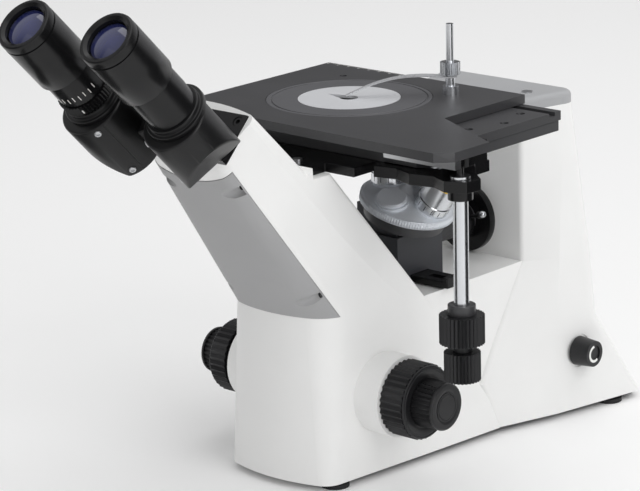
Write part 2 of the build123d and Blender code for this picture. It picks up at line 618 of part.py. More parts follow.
# Middle plate: moves fore and aft
mid_low = BASE_TOP + PLATE_GAP
middle = flat_prism([(-104, -80), (78, -80), (MID_RIGHT, -45), (MID_RIGHT, 54), (-104, 54)], mid_low, MID_TOP)
middle -= box(-52, 52, -TRAVEL_REAR - OBJECTIVE_CLEAR, TRAVEL_FRONT + OBJECTIVE_CLEAR + 4, mid_low - 1, MID_TOP + 1)
for x in (-KEY_X, KEY_X):
    middle += box(x - KEY_HALF, x + KEY_HALF, -78, 54, mid_low - KEY_DEPTH - PLATE_GAP, mid_low + 1)
for y in (-KEY_Y - 26, KEY_Y):
    middle -= box(-150, 150, y - KEY_HALF - RUN, y + KEY_HALF + RUN, MID_TOP - KEY_DEPTH - RUN, MID_TOP + 1)
for x, y in ((96, -27.5), (104.5, 1), (96, 30)):
    middle -= rod(3.2, MID_TOP - 4, MID_TOP + 1, x, y)
parts["stage_middle"] = middle
parts["index_block"] = box(4, 28, 54, 60, mid_low, MID_TOP)

# Top plate: moves left and right on the middle plate
top_low = MID_TOP + PLATE_GAP
plate = flat_prism([(STAGE_LEFT, -108), (138, -116), (148, -106), (148, -70), (STAGE_RIGHT, -34),
                    (STAGE_RIGHT, STAGE_BACK), (STAGE_LEFT, STAGE_BACK)], top_low, TOP_Z)
for y in (-KEY_Y - 26, KEY_Y):
    plate += box(STAGE_LEFT + 5, STAGE_RIGHT - 20, y - KEY_HALF, y + KEY_HALF, top_low - KEY_DEPTH - PLATE_GAP, top_low + 1)
seat_z = top_low + LEDGE_THICK
plate -= rod(INSERT_RADIUS - LEDGE, top_low - 9, TOP_Z + 1, RING_X, RING_Y)
plate -= rod(INSERT_RADIUS + RUN, seat_z, TOP_Z + 1, RING_X, RING_Y)
plate -= rod(POST_RADIUS + FIT, TOP_Z - CLIP_HOLE_DEPTH, TOP_Z + 1, RING_X - (POST_X - RING_X), POST_Y)
parts["stage_top"] = plate

disc_z = seat_z + LEDGE_THICK
insert = ring(INSERT_RADIUS, DISC_RADIUS - LEDGE, seat_z, TOP_Z)
insert -= rod(DISC_RADIUS + RUN, disc_z, TOP_Z + 1)
insert -= ring(INSERT_RADIUS - 3, INSERT_RADIUS - 4.2, TOP_Z - 0.8, TOP_Z + 1)
parts["insert_ring"] = Pos(RING_X, RING_Y, 0) * insert
disc = rod(DISC_RADIUS, disc_z, TOP_Z)
disc -= rod(DROP_RADIUS, disc_z - 1, TOP_Z + 1)
disc -= flat_prism([(0, -DROP_RADIUS), (0, DROP_RADIUS), (-DROP_LENGTH, 0)], disc_z - 1, TOP_Z + 1)
parts["stage_disc"] = Pos(RING_X, RING_Y, 0) * disc

# Specimen clip: post, leaf and nut
post = rod(5.8, TOP_Z, TOP_Z + 6) + rod(3.4, TOP_Z, SHOULDER_Z) + rod(POST_RADIUS, SHOULDER_Z - 1, POST_TOP)
parts["clip_post"] = Pos(POST_X, POST_Y, 0) * post
reach = sqrt((POST_X - RING_X) ** 2 + (POST_Y - RING_Y) ** 2)
toward = ((RING_X - POST_X) / reach, (RING_Y - POST_Y) / reach)
leaf_plane = Plane(origin=(POST_X, POST_Y, 0), x_dir=(toward[0], toward[1], 0), z_dir=(toward[1], -toward[0], 0))
leaf_z = SHOULDER_Z + RUN
over = [(4, leaf_z + 1), (28, leaf_z + 1.5), (reach - 16, TOP_Z + 6.5), (reach - 2, TOP_Z + 2)]
under = [(s, z - 1) for s, z in reversed(over)]
leaf = extrude(leaf_plane * polygon(over + under), CLIP_WIDTH / 2, both=True)
leaf += Pos(POST_X, POST_Y, 0) * rod(6.2, leaf_z, leaf_z + 1)
leaf -= Pos(POST_X, POST_Y, 0) * rod(POST_RADIUS + FIT, leaf_z - 5, leaf_z + 5)
parts["clip_leaf"] = leaf
nut = Pos(0, 0, leaf_z + 1 + RUN) * fluted(NUT_RADIUS, 9, 24)
nut -= rod(POST_RADIUS + FIT, leaf_z, leaf_z + 20)
parts["clip_nut"] = Pos(POST_X, POST_Y, 0) * nut

# Drive bracket on the right edge of the middle plate, with the rod and its two knobs
bracket = flat_prism([(71, -99), (88, -95), (104, -101), (122, -97), (136, -103), (150, -97), (152, -84),
                      (140, -74), (124, -56), (124, -40), (MID_RIGHT, -40), (MID_RIGHT, -80), (71, -82)],
                     BRACKET_LOW, BRACKET_TOP)
bracket += box(MID_RIGHT, 124, -70, -42, BRACKET_LOW, MID_TOP)
bracket -= rod(ROD_RADIUS + FIT, BRACKET_LOW - 1, BRACKET_TOP + 1, ROD_X, ROD_Y)
parts["rod_bracket"] = bracket
parts["rod_bearing"] = Pos(ROD_X, ROD_Y, 0) * ring(8.5, ROD_RADIUS + FIT, BRACKET_LOW - 6, BRACKET_LOW)
drive = rod(ROD_RADIUS, COLLAR_LOW, BRACKET_TOP + 2) + rod(7.0, BRACKET_TOP + RUN, BRACKET_TOP + 2)
drive -= rod(INNER_RADIUS + FIT, COLLAR_LOW - 1, BRACKET_TOP + 3)
parts["drive_rod"] = Pos(ROD_X, ROD_Y, 0) * drive
parts["rod_collar"] = Pos(ROD_X, ROD_Y, 0) * ring(COLLAR_RADIUS, ROD_RADIUS + FIT, COLLAR_LOW, COLLAR_TOP)
upper_knob = Pos(0, 0, UPPER_LOW) * fluted(UPPER_KNOB, COLLAR_LOW - UPPER_LOW, 32)
upper_knob += rod(NECK_RADIUS, LOWER_TOP + RUN, UPPER_LOW)
upper_knob -= rod(INNER_RADIUS + FIT, LOWER_TOP, COLLAR_LOW + 1)
parts["upper_knob"] = Pos(ROD_X, ROD_Y, 0) * upper_knob
lower_knob = Pos(0, 0, LOWER_LOW) * fluted(LOWER_KNOB, LOWER_TOP - LOWER_LOW, 28)
lower_knob -= rod(INNER_RADIUS + FIT, LOWER_LOW + KNOB_END, LOWER_TOP + 1)
parts["lower_knob"] = Pos(ROD_X, ROD_Y, 0) * lower_knob
pinion_low = mid_low
shaft = rod(INNER_RADIUS, LOWER_LOW + KNOB_END, MID_TOP - 1)
parts["inner_shaft"] = Pos(ROD_X, ROD_Y, 0) * shaft
pinion = Pos(0, 0, pinion_low) * fluted(DRIVE_PINION, MID_TOP - 1 - pinion_low, 16)
pinion -= rod(INNER_RADIUS + FIT, pinion_low - 1, MID_TOP)
parts["drive_pinion"] = Pos(ROD_X, ROD_Y, 0) * pinion
rack_y = ROD_Y - DRIVE_PINION - RUN
parts["drive_rack"] = box(84, 146, rack_y - 6, rack_y, mid_low + 0.4, top_low)

# Binocular head: plate in the end of the neck, pivot, two folding arms
parts["front_stand"] -= HEAD * box(-HEAD_HALF - RUN, HEAD_HALF + RUN, HEAD_LOW_U - RUN, HEAD_HIGH_U + RUN,
                                   NECK_END_T - HEAD_SUNK, NECK_END_T + 9)
plate = box(-HEAD_HALF, HEAD_HALF, HEAD_LOW_U, HEAD_HIGH_U, NECK_END_T - HEAD_SUNK, PLATE_T)
screws = []
for side in (-1, 1):
    for u in (HEAD_LOW_U + HEAD_SCREW_INSET, HEAD_HIGH_U - HEAD_SCREW_INSET):
        spot = (side * (HEAD_HALF - HEAD_SCREW_INSET), u)
        plate -= rod(HEAD_SCREW_RADIUS + RUN, PLATE_T - HEAD_SCREW_DEEP, PLATE_T + 1, *spot)
        screw = rod(HEAD_SCREW_RADIUS, PLATE_T - HEAD_SCREW_DEEP, PLATE_T - 0.5, *spot)
        screws.append(HEAD * (screw - rod(HEAD_SCREW_RADIUS / 2, PLATE_T - 2, PLATE_T, *spot)))
parts["head_plate"] = HEAD * plate
parts["head_screws"] = Compound(screws)
pivot = rod(HINGE_RADIUS, PLATE_T, ARM_TOP_T + RUN + 2, 0, HINGE_U) + rod(9.5, ARM_TOP_T + RUN, ARM_TOP_T + 3, 0, HINGE_U)
parts["head_pivot"] = HEAD * pivot
middle_t = (ARM_LOW_T + ARM_TOP_T) / 2


def head_arm(knuckle_low, knuckle_top, hand):
    """One arm along +X from the hinge, with a pod for its eyepiece at the far end, cut off slantwise below."""
    root = 27.0
    down = -hand * ARM_ANGLE
    pod_x = ARM_REACH + POD_DROP * sin(radians(ARM_ANGLE))
    pod_y = -hand * POD_DROP * cos(radians(ARM_ANGLE))
    pod_line = [(root, -17), (ARM_REACH, -POD_RADIUS + 2), (ARM_REACH, POD_RADIUS - 2), (root, 17)]
    pod = rod(POD_RADIUS, ARM_LOW_T, ARM_TOP_T, pod_x, pod_y) + flat_prism(pod_line, ARM_LOW_T, ARM_TOP_T)
    outward = radians(-hand * FACET_TURN - down)
    facing = Vector(cos(outward) * cos(radians(FACET_RISE)), sin(outward) * cos(radians(FACET_RISE)),
                    -sin(radians(FACET_RISE)))
    pod -= Plane(origin=(pod_x, pod_y, ARM_LOW_T), z_dir=facing) * box(-70, 70, -70, 70, 0, 60)
    bar_line = [(0, -KNUCKLE), (root + 4, -17), (root + 4, 17), (0, KNUCKLE)]
    arm = pod + flat_prism(bar_line, knuckle_low, knuckle_top) + rod(KNUCKLE, knuckle_low, knuckle_top)
    arm += rod(21.5, ARM_TOP_T - 1, ARM_TOP_T + 3.5, ARM_REACH) + rod(18.5, ARM_TOP_T, COLLAR_T, ARM_REACH)
    arm -= rod(HINGE_RADIUS + FIT, ARM_LOW_T - 1, ARM_TOP_T + 1)
    arm -= rod(STUB_RADIUS + FIT, ARM_TOP_T - STUB_DEPTH - 2, COLLAR_T + 1, ARM_REACH)
    return arm


def eyepiece(neck_radius):
    line = [(0, ARM_TOP_T - STUB_DEPTH), (STUB_RADIUS, ARM_TOP_T - STUB_DEPTH), (STUB_RADIUS, COLLAR_T),
            (neck_radius, COLLAR_T),
            (neck_radius, COLLAR_T + 9), (18, COLLAR_T + 9.5), (18, 416), (19, 417), (19, 441), (17.5, 442),
            (17.5, 455), (20, 458), (20, EYE_TOP_T - 2), (18, EYE_TOP_T), (14.5, EYE_TOP_T - 2),
            (13, EYE_TOP_T - 8), (0, EYE_TOP_T - 8)]
    return revolve(Plane.XZ * polygon(line), Axis.Z)


lens_crown = EYE_TOP_T - 4.2
eye_lens = rod(LENS_RADIUS, EYE_TOP_T - 8, EYE_TOP_T) & Pos(0, 0, lens_crown - LENS_CURVE) * Sphere(LENS_CURVE)
for name, angle, hand, low, high, waist in (
        ("left", 180 + ARM_ANGLE, -1, ARM_LOW_T, middle_t - RUN / 2, 16.5),
        ("right", -ARM_ANGLE, 1, middle_t + RUN / 2, ARM_TOP_T, 17.5)):
    place = HEAD.location * Pos(0, HINGE_U, 0) * Rot(0, 0, angle)
    parts[f"{name}_arm"] = place * head_arm(low, high, hand)
    parts[f"{name}_eyepiece"] = place * Pos(ARM_REACH, 0, 0) * eyepiece(waist)
    parts[f"{name}_eye_lens"] = place * Pos(ARM_REACH, 0, 0) * eye_lens
    if name == "left":
        collar = Pos(0, 0, COLLAR_T + RUN) * fluted(19.5, 8.2, 48) - rod(waist + RUN, COLLAR_T - 1, COLLAR_T + 12)
        parts["diopter_ring"] = place * Pos(ARM_REACH, 0, 0) * collar

os.makedirs("parts", exist_ok=True)
for name, shape in parts.items():
    export_step(shape, f"parts/{name}.step")
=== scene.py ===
from math import atan2, cos, pi, radians, sin, sqrt

import bpy
from mathutils import Matrix, Vector


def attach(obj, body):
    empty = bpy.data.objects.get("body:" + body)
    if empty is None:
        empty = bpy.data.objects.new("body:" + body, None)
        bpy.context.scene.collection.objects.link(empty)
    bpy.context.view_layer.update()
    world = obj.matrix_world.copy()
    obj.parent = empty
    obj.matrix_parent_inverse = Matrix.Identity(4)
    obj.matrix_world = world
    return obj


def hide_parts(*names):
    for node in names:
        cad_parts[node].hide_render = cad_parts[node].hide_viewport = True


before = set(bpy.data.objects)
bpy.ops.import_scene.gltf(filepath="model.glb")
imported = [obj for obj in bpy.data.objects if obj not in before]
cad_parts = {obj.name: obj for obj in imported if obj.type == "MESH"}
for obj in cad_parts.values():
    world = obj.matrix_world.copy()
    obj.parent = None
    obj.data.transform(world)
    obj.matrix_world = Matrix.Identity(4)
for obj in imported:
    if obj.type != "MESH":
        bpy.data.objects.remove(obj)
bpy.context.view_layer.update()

bl_info = {
    "name": "Inverted microscope",
    "version": (1, 0, 0),
    "blender": (4, 5, 0),
    "location": "View3D > Sidebar > Microscope",
    "description": "Finishes, small fittings and studio for an inverted metallurgical microscope",
    "category": "Object",
}

MM = 0.001

# Sizes of the assembly that small fittings follow, in millimetres and degrees
TUBE_X = 37.51           # eyepiece axis from the plane of symmetry
TUBE_U = 30.39           # and across it, in the head's own leaning frame
POD_DROP = 5.0           # the arm's barrel lies below the eyepiece axis
POD_RADIUS = 23.0
TURRET_TILT = 18.0
SEAT_RADIUS = 20.0
SEAT_Z = 191.0
SEAT_RISE = 0.8
EYE_TOP = 470.0          # rim of the eyepieces along the tubes
ARM_LOW = 332.0
ARM_TOP = 385.0
HINGE_U = 49.5
FACET_BEARING = -26.0    # the slanting end of each arm: bearing and tilt
FACET_RISE = 36.4
STAGE_TOP = 255.3
STAGE_BACK = 55.6
SCALE_LEFT = -103.0      # first mark of the scale on the stage
SCALE_MARKS = 36
FOCUS_Y = -71.0          # axis of the focus knobs
FOCUS_Z = 62.3
FINE_END = 109.35        # outer face of the fine knobs
COARSE_END = 90.9        # outer face of the coarse knobs
DIMMER_END = (92.3, 121.5, 48.4)
IRIS_CENTRE = (0.0, 73.0, 146.4)
LEVER_REACH = 28.0       # from the centre of the iris to the ball on its lever
LEVER_LEAN = 18.0
CLIP_POST = (35.6, 26.9)
CLIP_RISE = 13.2         # foot of the spring above the stage
CLIP_TIP = (-12.5, -21.0)
CLIP_REACH = 70.0
GRIP_TEETH = 110
GRIP_DEPTH = 0.4
GRIP_MARKS = 14
DIOPTER_BEARING = -60.0  # where the scale of the focusing eyepiece faces
DIOPTER_STEP = 13.0
BROKEN_EDGE = 0.45       # broken edge of the black plates
SHARP_ANGLE = 40.0       # edges sharper than this are broken
SMOOTH_ANGLE = 32.0      # turned shapes are shaded smooth up to this angle
POCKET_SLANT = 36.0      # how the panel's screw pockets run in
POCKET_LEAN = 51.0
POCKETS = ((43.2, -130.3, 141.0), (31.9, -193.0, 228.5))

# Turned shapes as (radius, height) pairs in millimetres; an eyepiece goes on from its waist
EYEPIECE = [(17.7, 401.2), (17.7, 421.6), (17.2, 421.8), (17.2, 422.8), (19.5, 423.0), (19.8, 423.5),
            (19.8, 445), (19.8, 462.4), (19.1, 462.6), (19.1, 463.8), (19.7, 464.0), (19.7, 468.0),
            (19.2, 469.3), (18.4, 469.9), (16.8, 469.9), (14.6, 468.4), (14.3, 464.0)]
TUBE_COLLAR = [(15.5, 384), (21.4, 384.4), (21.6, 385), (21.6, 387.6), (21.2, 388), (19.6, 388.2),
               (19.2, 388.6), (19.2, 391.2), (18.8, 391.7), (17.9, 391.8)]
FINE_RIM = [(14.6, -2.6), (16.5, -2.6), (16.9, -1.8), (16.6, -0.6), (15.6, 0.2), (13.0, 0.3), (11.2, 0.1),
            (10.4, -0.3)]
COARSE_FACE = [(18.4, -0.5), (25.8, -0.5), (26.2, 0.1), (25.7, 0.8), (25.0, 1.0), (24.6, 0.6), (23.9, 0.6),
               (23.5, 1.0), (19.6, 1.0), (18.6, 0.5)]
TURRET_RIM = [(33.4, -10.2), (34.3, -10.2), (34.56, -9.9), (34.56, -5.1), (34.3, -4.75), (33.4, -4.7)]

# The head leans at 45 degrees: directions along its tubes and across them
HALF = sqrt(0.5)
UP_TUBE = Vector((0, -HALF, HALF))
ACROSS_TUBE = Vector((0, HALF, HALF))


def linear(code):
    """Linear red, green and blue of an sRGB hex code."""
    values = [int(code[i:i + 2], 16) / 255 for i in (0, 2, 4)]
    return tuple(v / 12.92 if v <= 0.04045 else ((v + 0.055) / 1.055) ** 2.4 for v in values)


def colour(name, code):
    return bpy.props.FloatVectorProperty(name=name, description=f"Colour of the {name.lower()}",
                                         subtype="COLOR", size=3, min=0.0, max=1.0, default=linear(code))


def length(name, words, millimetres):
    return bpy.props.FloatProperty(name=name, description=words, subtype="DISTANCE", unit="LENGTH",
                                   default=millimetres * MM)


def angle(name, words, degrees):
    return bpy.props.FloatProperty(name=name, description=words, subtype="ANGLE", default=radians(degrees))


class MicroscopeColours(bpy.types.PropertyGroup):
    """Colours of the finishes"""
    powder: colour("Powder coat", "F0F0EF")
    panel: colour("Front panel", "A4A4A5")
    # Lid grey: painted shade, standing in for the dimmer light on the tower's white top
    lid: colour("Tower lid", "A8A9AB")
    anodised: colour("Black anodised plates", "3A3A3C")
    head: colour("Black lacquer", "121213")
    knob: colour("Moulded knobs", "1A1A1C")
    disc: colour("Satin disc", "D8D9DC")
    turret: colour("Turret", "E8ECF2")
    rubber: colour("Rubber", "18181A")
    insert: colour("Insert ring", "565659")
    column: colour("Column box", "34353A")
    steel: colour("Satin steel", "C6C7C9")
    chrome: colour("Bright chrome", "D6D8DB")
    lens: colour("Coated glass", "1B2150")
    red_ring: colour("Low power ring", "C4302B")
    yellow_ring: colour("Medium power ring", "E8BE2D")
    green_ring: colour("High power ring", "2E8A4A")
    mark: colour("White marks", "E9E9E6")


class MicroscopeSizes(bpy.types.PropertyGroup):
    """Sizes of the small fittings, and the camera"""
    coat_grain: length("Coat grain", "Texture of the powder coat, coarser than life so that it shows", 1.4)
    mould_grain: length("Mould grain", "Texture of the moulded plastic", 1.0)
    sky: bpy.props.FloatProperty(name="Sky", description="Strength of the light from all round", default=0.5)
    tick_gap: length("Tick gap", "Distance between the marks of the stage scales", 2.0)
    camera_azimuth: angle("Camera azimuth", "Angle of the camera to the right of the front", 42.07)
    camera_elevation: angle("Camera elevation", "Height angle of the camera", 15.67)
    camera_roll: angle("Camera roll", "Roll of the camera", 1.44)
    camera_distance: length("Camera distance", "From the look point to the camera", 2130.9)
    camera_right: length("Camera shift", "Sideways step of the camera", -23.3)
    camera_up: length("Camera rise", "Upward step of the camera", 3.2)
    camera_lens: bpy.props.FloatProperty(name="Lens", description="Focal length in mm", default=168.75)


def colours():
    return bpy.context.scene.microscope_colours


def sizes():
    return bpy.context.scene.microscope_sizes


def add_node(tree, kind, links=(), inputs=(), **settings):
    """Adds one shader node with its settings, fixed inputs and links."""
    made = tree.nodes.new(kind)
    for key, value in settings.items():
        setattr(made, key, value)
    for socket, value in inputs:
        made.inputs[socket].default_value = value
    for socket, source in links:
        tree.links.new(source, made.inputs[socket])
    return made


def start_material(name):
    """An empty Principled material, with its tree, shader and Object coordinates."""
    material = bpy.data.materials.new(name)
    material.use_nodes = True
    tree = material.node_tree
    shader = tree.nodes["Principled BSDF"]
    place = add_node(tree, "ShaderNodeTexCoord").outputs["Object"]
    return material, tree, shader, place


def shade_of(rgb, factor):
    return tuple(min(1.0, v * factor) for v in rgb) + (1.0,)


def grained(name, rgb, grain, roughness, spread, relief, metallic=0.0, contrast=0.06, sheen=0.5):
    """A surface whose colour, roughness and relief vary with one fine grain."""
    material, tree, shader, place = start_material(name)
    noise = add_node(tree, "ShaderNodeTexNoise", [("Vector", place)],
                     [("Scale", 1.0 / grain), ("Detail", 3.0), ("Roughness", 0.55)])
    broad = add_node(tree, "ShaderNodeTexNoise", [("Vector", place)], [("Scale", 22.0), ("Detail", 2.0)])
    tone = add_node(tree, "ShaderNodeValToRGB", [("Fac", broad.outputs["Fac"])])
    tone.color_ramp.elements[0].position = 0.3
    tone.color_ramp.elements[0].color = shade_of(rgb, 1.0 - contrast)
    tone.color_ramp.elements[1].position = 0.7
    tone.color_ramp.elements[1].color = shade_of(rgb, 1.0 + contrast)
    gloss = add_node(tree, "ShaderNodeMapRange", [("Value", noise.outputs["Fac"])],
                     [("To Min", roughness - spread), ("To Max", roughness + spread)])
    bump = add_node(tree, "ShaderNodeBump", [("Height", noise.outputs["Fac"])],
                    [("Strength", relief), ("Distance", 0.15 * MM)])
    tree.links.new(tone.outputs["Color"], shader.inputs["Base Color"])
    tree.links.new(gloss.outputs["Result"], shader.inputs["Roughness"])
    tree.links.new(bump.outputs["Normal"], shader.inputs["Normal"])
    shader.inputs["Metallic"].default_value = metallic
    shader.inputs["Specular IOR Level"].default_value = sheen
    return material


def powder_coat():
    # Baked polyester powder coat on a casting: matt, with a fine even orange-peel
    return grained("Powder_coat", colours().powder, sizes().coat_grain, 0.52, 0.05, 0.10, contrast=0.012)


def moulded_panel():
    # Spark-eroded ABS moulding: matt and slightly speckled
    return grained("Moulded_panel", colours().panel, sizes().mould_grain, 0.55, 0.06, 0.12, contrast=0.02)


def lid_shade_grey():
    # The same ABS in light grey; the grey is painted shade, standing in for the dimmer light on the tower's
    # white top
    return grained("Lid_shade_grey", colours().lid, sizes().mould_grain, 0.55, 0.06, 0.10, contrast=0.02)


def black_anodised():
    # Bead-blasted and black anodised aluminium: satin, with a soft broad highlight
    return grained("Black_anodised", colours().anodised, 0.8 * MM, 0.42, 0.06, 0.10, contrast=0.10)


def black_gloss():
    # Black lacquer on the head, the stage support and the rod bracket: deep black with a clear sheen
    return grained("Black_gloss", colours().head, 0.8 * MM, 0.24, 0.05, 0.04, contrast=0.10, sheen=0.3)


def arm_paint():
    # Smooth black stove enamel on the cast arms: satin
    return grained("Arm_paint", colours().head, 0.9 * MM, 0.36, 0.06, 0.10, contrast=0.10, sheen=0.35)


def moulded_knob():
    # Soft-touch moulded rubber over plastic: dull black
    return grained("Moulded_knob", colours().knob, 0.9 * MM, 0.42, 0.08, 0.12, contrast=0.10, sheen=0.4)


def rubber_foot():
    # Moulded nitrile rubber: dull
    return grained("Rubber_foot", colours().rubber, 0.8 * MM, 0.72, 0.06, 0.20, contrast=0.12)


def insert_ring():
    # Dark hard-anodised aluminium insert, turned and satin
    return grained("Insert_ring", colours().insert, 0.8 * MM, 0.40, 0.05, 0.08, contrast=0.05)


def column_paint():
    # Dark grey enamel on the illuminator box
    return grained("Column_paint", colours().column, 1.0 * MM, 0.45, 0.06, 0.08, contrast=0.06)


def satin_steel():
    # Turned stainless steel with a fine satin grain
    return grained("Satin_steel", colours().steel, 0.5 * MM, 0.30, 0.06, 0.05, metallic=1.0, contrast=0.04)


def satin_disc():
    # Bead-blasted nickel plate of the centre disc: pale, even and nearly matt
    return grained("Satin_disc", colours().disc, 0.6 * MM, 0.46, 0.05, 0.05, metallic=0.35, contrast=0.03)


def spring_steel():
    # Bright rolled spring steel: pale, with a soft sheen along the leaf
    return grained("Spring_steel", colours().disc, 0.5 * MM, 0.28, 0.05, 0.03, metallic=0.45, contrast=0.03)


def turret_coat():
    # Satin chrome on the revolving turret: soft grey metal
    return grained("Turret_coat", colours().turret, 0.6 * MM, 0.38, 0.05, 0.05, metallic=0.3, contrast=0.04)


def bright_chrome():
    # Polished chrome plate: mirror-like with faint handling haze
    return grained("Bright_chrome", colours().chrome, 3.0 * MM, 0.23, 0.04, 0.01, metallic=1.0,
                   contrast=0.02)


def coated_glass():
    # Crown glass with a blue anti-reflection coating
    material, tree, shader, place = start_material("Coated_glass")
    glow = add_node(tree, "ShaderNodeTexNoise", [("Vector", place)], [("Scale", 60.0), ("Detail", 1.0)])
    tone = add_node(tree, "ShaderNodeValToRGB", [("Fac", glow.outputs["Fac"])])
    tone.color_ramp.elements[0].color = shade_of(colours().lens, 0.7)
    tone.color_ramp.elements[1].color = shade_of(colours().lens, 1.5)
    tree.links.new(tone.outputs["Color"], shader.inputs["Base Color"])
    shader.inputs["Roughness"].default_value = 0.06
    shader.inputs["Coat Weight"].default_value = 1.0
    shader.inputs["Coat Roughness"].default_value = 0.02
    return material


def enamel(name, rgb):
    # Baked enamel band or filled mark: smooth and slightly glossy
    return grained(name, rgb, 1.2 * MM, 0.38, 0.05, 0.03, contrast=0.03)


def dress(material, names, edge=0.0):
    """Gives CAD nodes a finish and, where edge is set, a small broken edge."""
    for name in names:
        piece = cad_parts[name]
        piece.data.materials.clear()
        piece.data.materials.append(material)
        if edge:
            weld = piece.modifiers.new("Join", "WELD")
            weld.merge_threshold = 0.002 * MM
            bevel = piece.modifiers.new("Broken_edge", "BEVEL")
            bevel.width = edge
            bevel.segments = 2
            bevel.limit_method = "ANGLE"
            bevel.angle_limit = radians(SHARP_ANGLE)


def turned_to(spot, along, across):
    """A frame at a spot in metres, its Z along one direction and its X near another."""
    z = Vector(along).normalized()
    x = Vector(across)
    x = (x - z * x.dot(z)).normalized()
    return Matrix.Translation(Vector(spot)) @ Matrix((x, z.cross(x), z)).transposed().to_4x4()


def head_frame(side, drop, bearing, radius, along):
    """A frame on a tube of the head: Z outward from its axis, X along the tube; lengths in millimetres."""
    turn = radians(bearing)
    outward = Vector((1, 0, 0)) * cos(turn) + ACROSS_TUBE * sin(turn)
    axis = Vector((side * TUBE_X, 0, 0)) + ACROSS_TUBE * (TUBE_U - drop)
    return turned_to((axis + outward * radius + UP_TUBE * along) * MM, outward, UP_TUBE)


def turret_frame():
    """The frame of the turret, Z along the axis it turns on."""
    tilt = radians(TURRET_TILT)
    origin = Vector((SEAT_RADIUS * cos(tilt), 0, SEAT_Z - SEAT_RADIUS * sin(tilt))) * MM
    return turned_to(origin, (sin(tilt), 0, cos(tilt)), (-cos(tilt), 0, sin(tilt)))


def seat_frame(index):
    """The frame of one objective seat on the turret, Z along the objective."""
    out = Matrix.Rotation(radians(90 * index), 4, "Z") @ Matrix.Translation((SEAT_RADIUS * MM, 0, 0))
    lean = Matrix.Rotation(radians(TURRET_TILT), 4, "Y")
    return turret_frame() @ out @ lean @ Matrix.Translation((0, 0, SEAT_RISE * MM))


def deselect():
    bpy.ops.object.select_all(action="DESELECT")


def only(piece):
    """Makes one piece the only selected one."""
    deselect()
    piece.select_set(True)
    bpy.context.view_layer.objects.active = piece


def settle(piece, place):
    """Carries a piece to its place and leaves its own axes on the shared frame."""
    only(piece)
    piece.matrix_world = place
    bpy.ops.object.transform_apply(location=True, rotation=True, scale=True)


def pick(piece, test):
    """Opens a piece for editing, with only those faces selected that pass a test."""
    only(piece)
    bpy.ops.object.mode_set(mode="EDIT")
    bpy.ops.mesh.select_mode(type="FACE")
    bpy.ops.mesh.select_all(action="DESELECT")
    bpy.ops.object.mode_set(mode="OBJECT")
    for face in piece.data.polygons:
        face.select = test(face)
    bpy.ops.object.mode_set(mode="EDIT")


def repeat(model, places):
    """Copies a model to each place, joins the copies and removes the model."""
    made = []
    for place in places:
        only(model)
        bpy.ops.object.duplicate()
        made.append(bpy.context.object)
        settle(made[-1], place)
    only(model)
    bpy.ops.object.delete()
    only(made[0])
    for piece in made[1:]:
        piece.select_set(True)
    if len(made) > 1:
        bpy.ops.object.join()
    return bpy.context.object


def hand_over(piece, name, material, body):
    """Names a piece, gives it a finish and ties it to the body that carries it."""
    piece.name = name
    piece.data.name = name
    if not piece.data.materials:
        piece.data.materials.append(material)
    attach(piece, body)


def socket_screw(radius, height):
    """A rounded screw head with a socket, seated on the origin plane with its head along +Z."""
    deselect()
    bpy.ops.mesh.primitive_cylinder_add(vertices=24, radius=radius, depth=height,
                                        location=(0, 0, height / 2))
    screw = bpy.context.object
    bpy.ops.object.transform_apply(location=True)
    pick(screw, lambda face: face.normal.z > 0.9)
    bpy.ops.mesh.bevel(offset=0.28 * radius, segments=2, affect="EDGES")
    bpy.ops.object.mode_set(mode="OBJECT")
    pick(screw, lambda face: face.normal.z > 0.99)
    bpy.ops.mesh.inset(thickness=0.18 * radius)
    bpy.ops.mesh.extrude_region_move(TRANSFORM_OT_translate={"value": (0, 0, -0.7 * height)})
    bpy.ops.object.mode_set(mode="OBJECT")
    return screw


def band(radius, height, thick):
    """A thin band round a barrel, its lower edge on the origin plane."""
    deselect()
    bpy.ops.mesh.primitive_cylinder_add(vertices=72, radius=radius - thick, depth=height,
                                        end_fill_type="NOTHING", location=(0, 0, height / 2))
    ring = bpy.context.object
    bpy.ops.object.transform_apply(location=True)
    bpy.ops.object.mode_set(mode="EDIT")
    bpy.ops.mesh.select_all(action="SELECT")
    bpy.ops.mesh.extrude_region_shrink_fatten(TRANSFORM_OT_shrink_fatten={"value": thick})
    bpy.ops.mesh.select_all(action="SELECT")
    bpy.ops.mesh.normals_make_consistent(inside=False)
    bpy.ops.object.mode_set(mode="OBJECT")
    bpy.ops.object.shade_smooth_by_angle(angle=radians(35))
    return ring


def bar(long, wide, tall):
    """A filled mark: a low bar with broken upper edges, its underside on the origin plane, long along X."""
    deselect()
    bpy.ops.mesh.primitive_cube_add(size=1.0)
    mark = bpy.context.object
    mark.dimensions = (long, wide, tall)
    mark.location = (0, 0, tall / 2)
    bpy.ops.object.transform_apply(location=True, rotation=True, scale=True)
    pick(mark, lambda face: face.normal.z > 0.9)
    bpy.ops.mesh.bevel(offset=0.3 * tall, segments=1, affect="EDGES")
    bpy.ops.object.mode_set(mode="OBJECT")
    return mark


def tube_axes(side, drop):
    """Frame of one tube of the head: Z up the tube, X to the user's right."""
    spot = Vector((side * TUBE_X, 0, 0)) + ACROSS_TUBE * (TUBE_U - drop)
    return turned_to(spot * MM, UP_TUBE, (1, 0, 0))


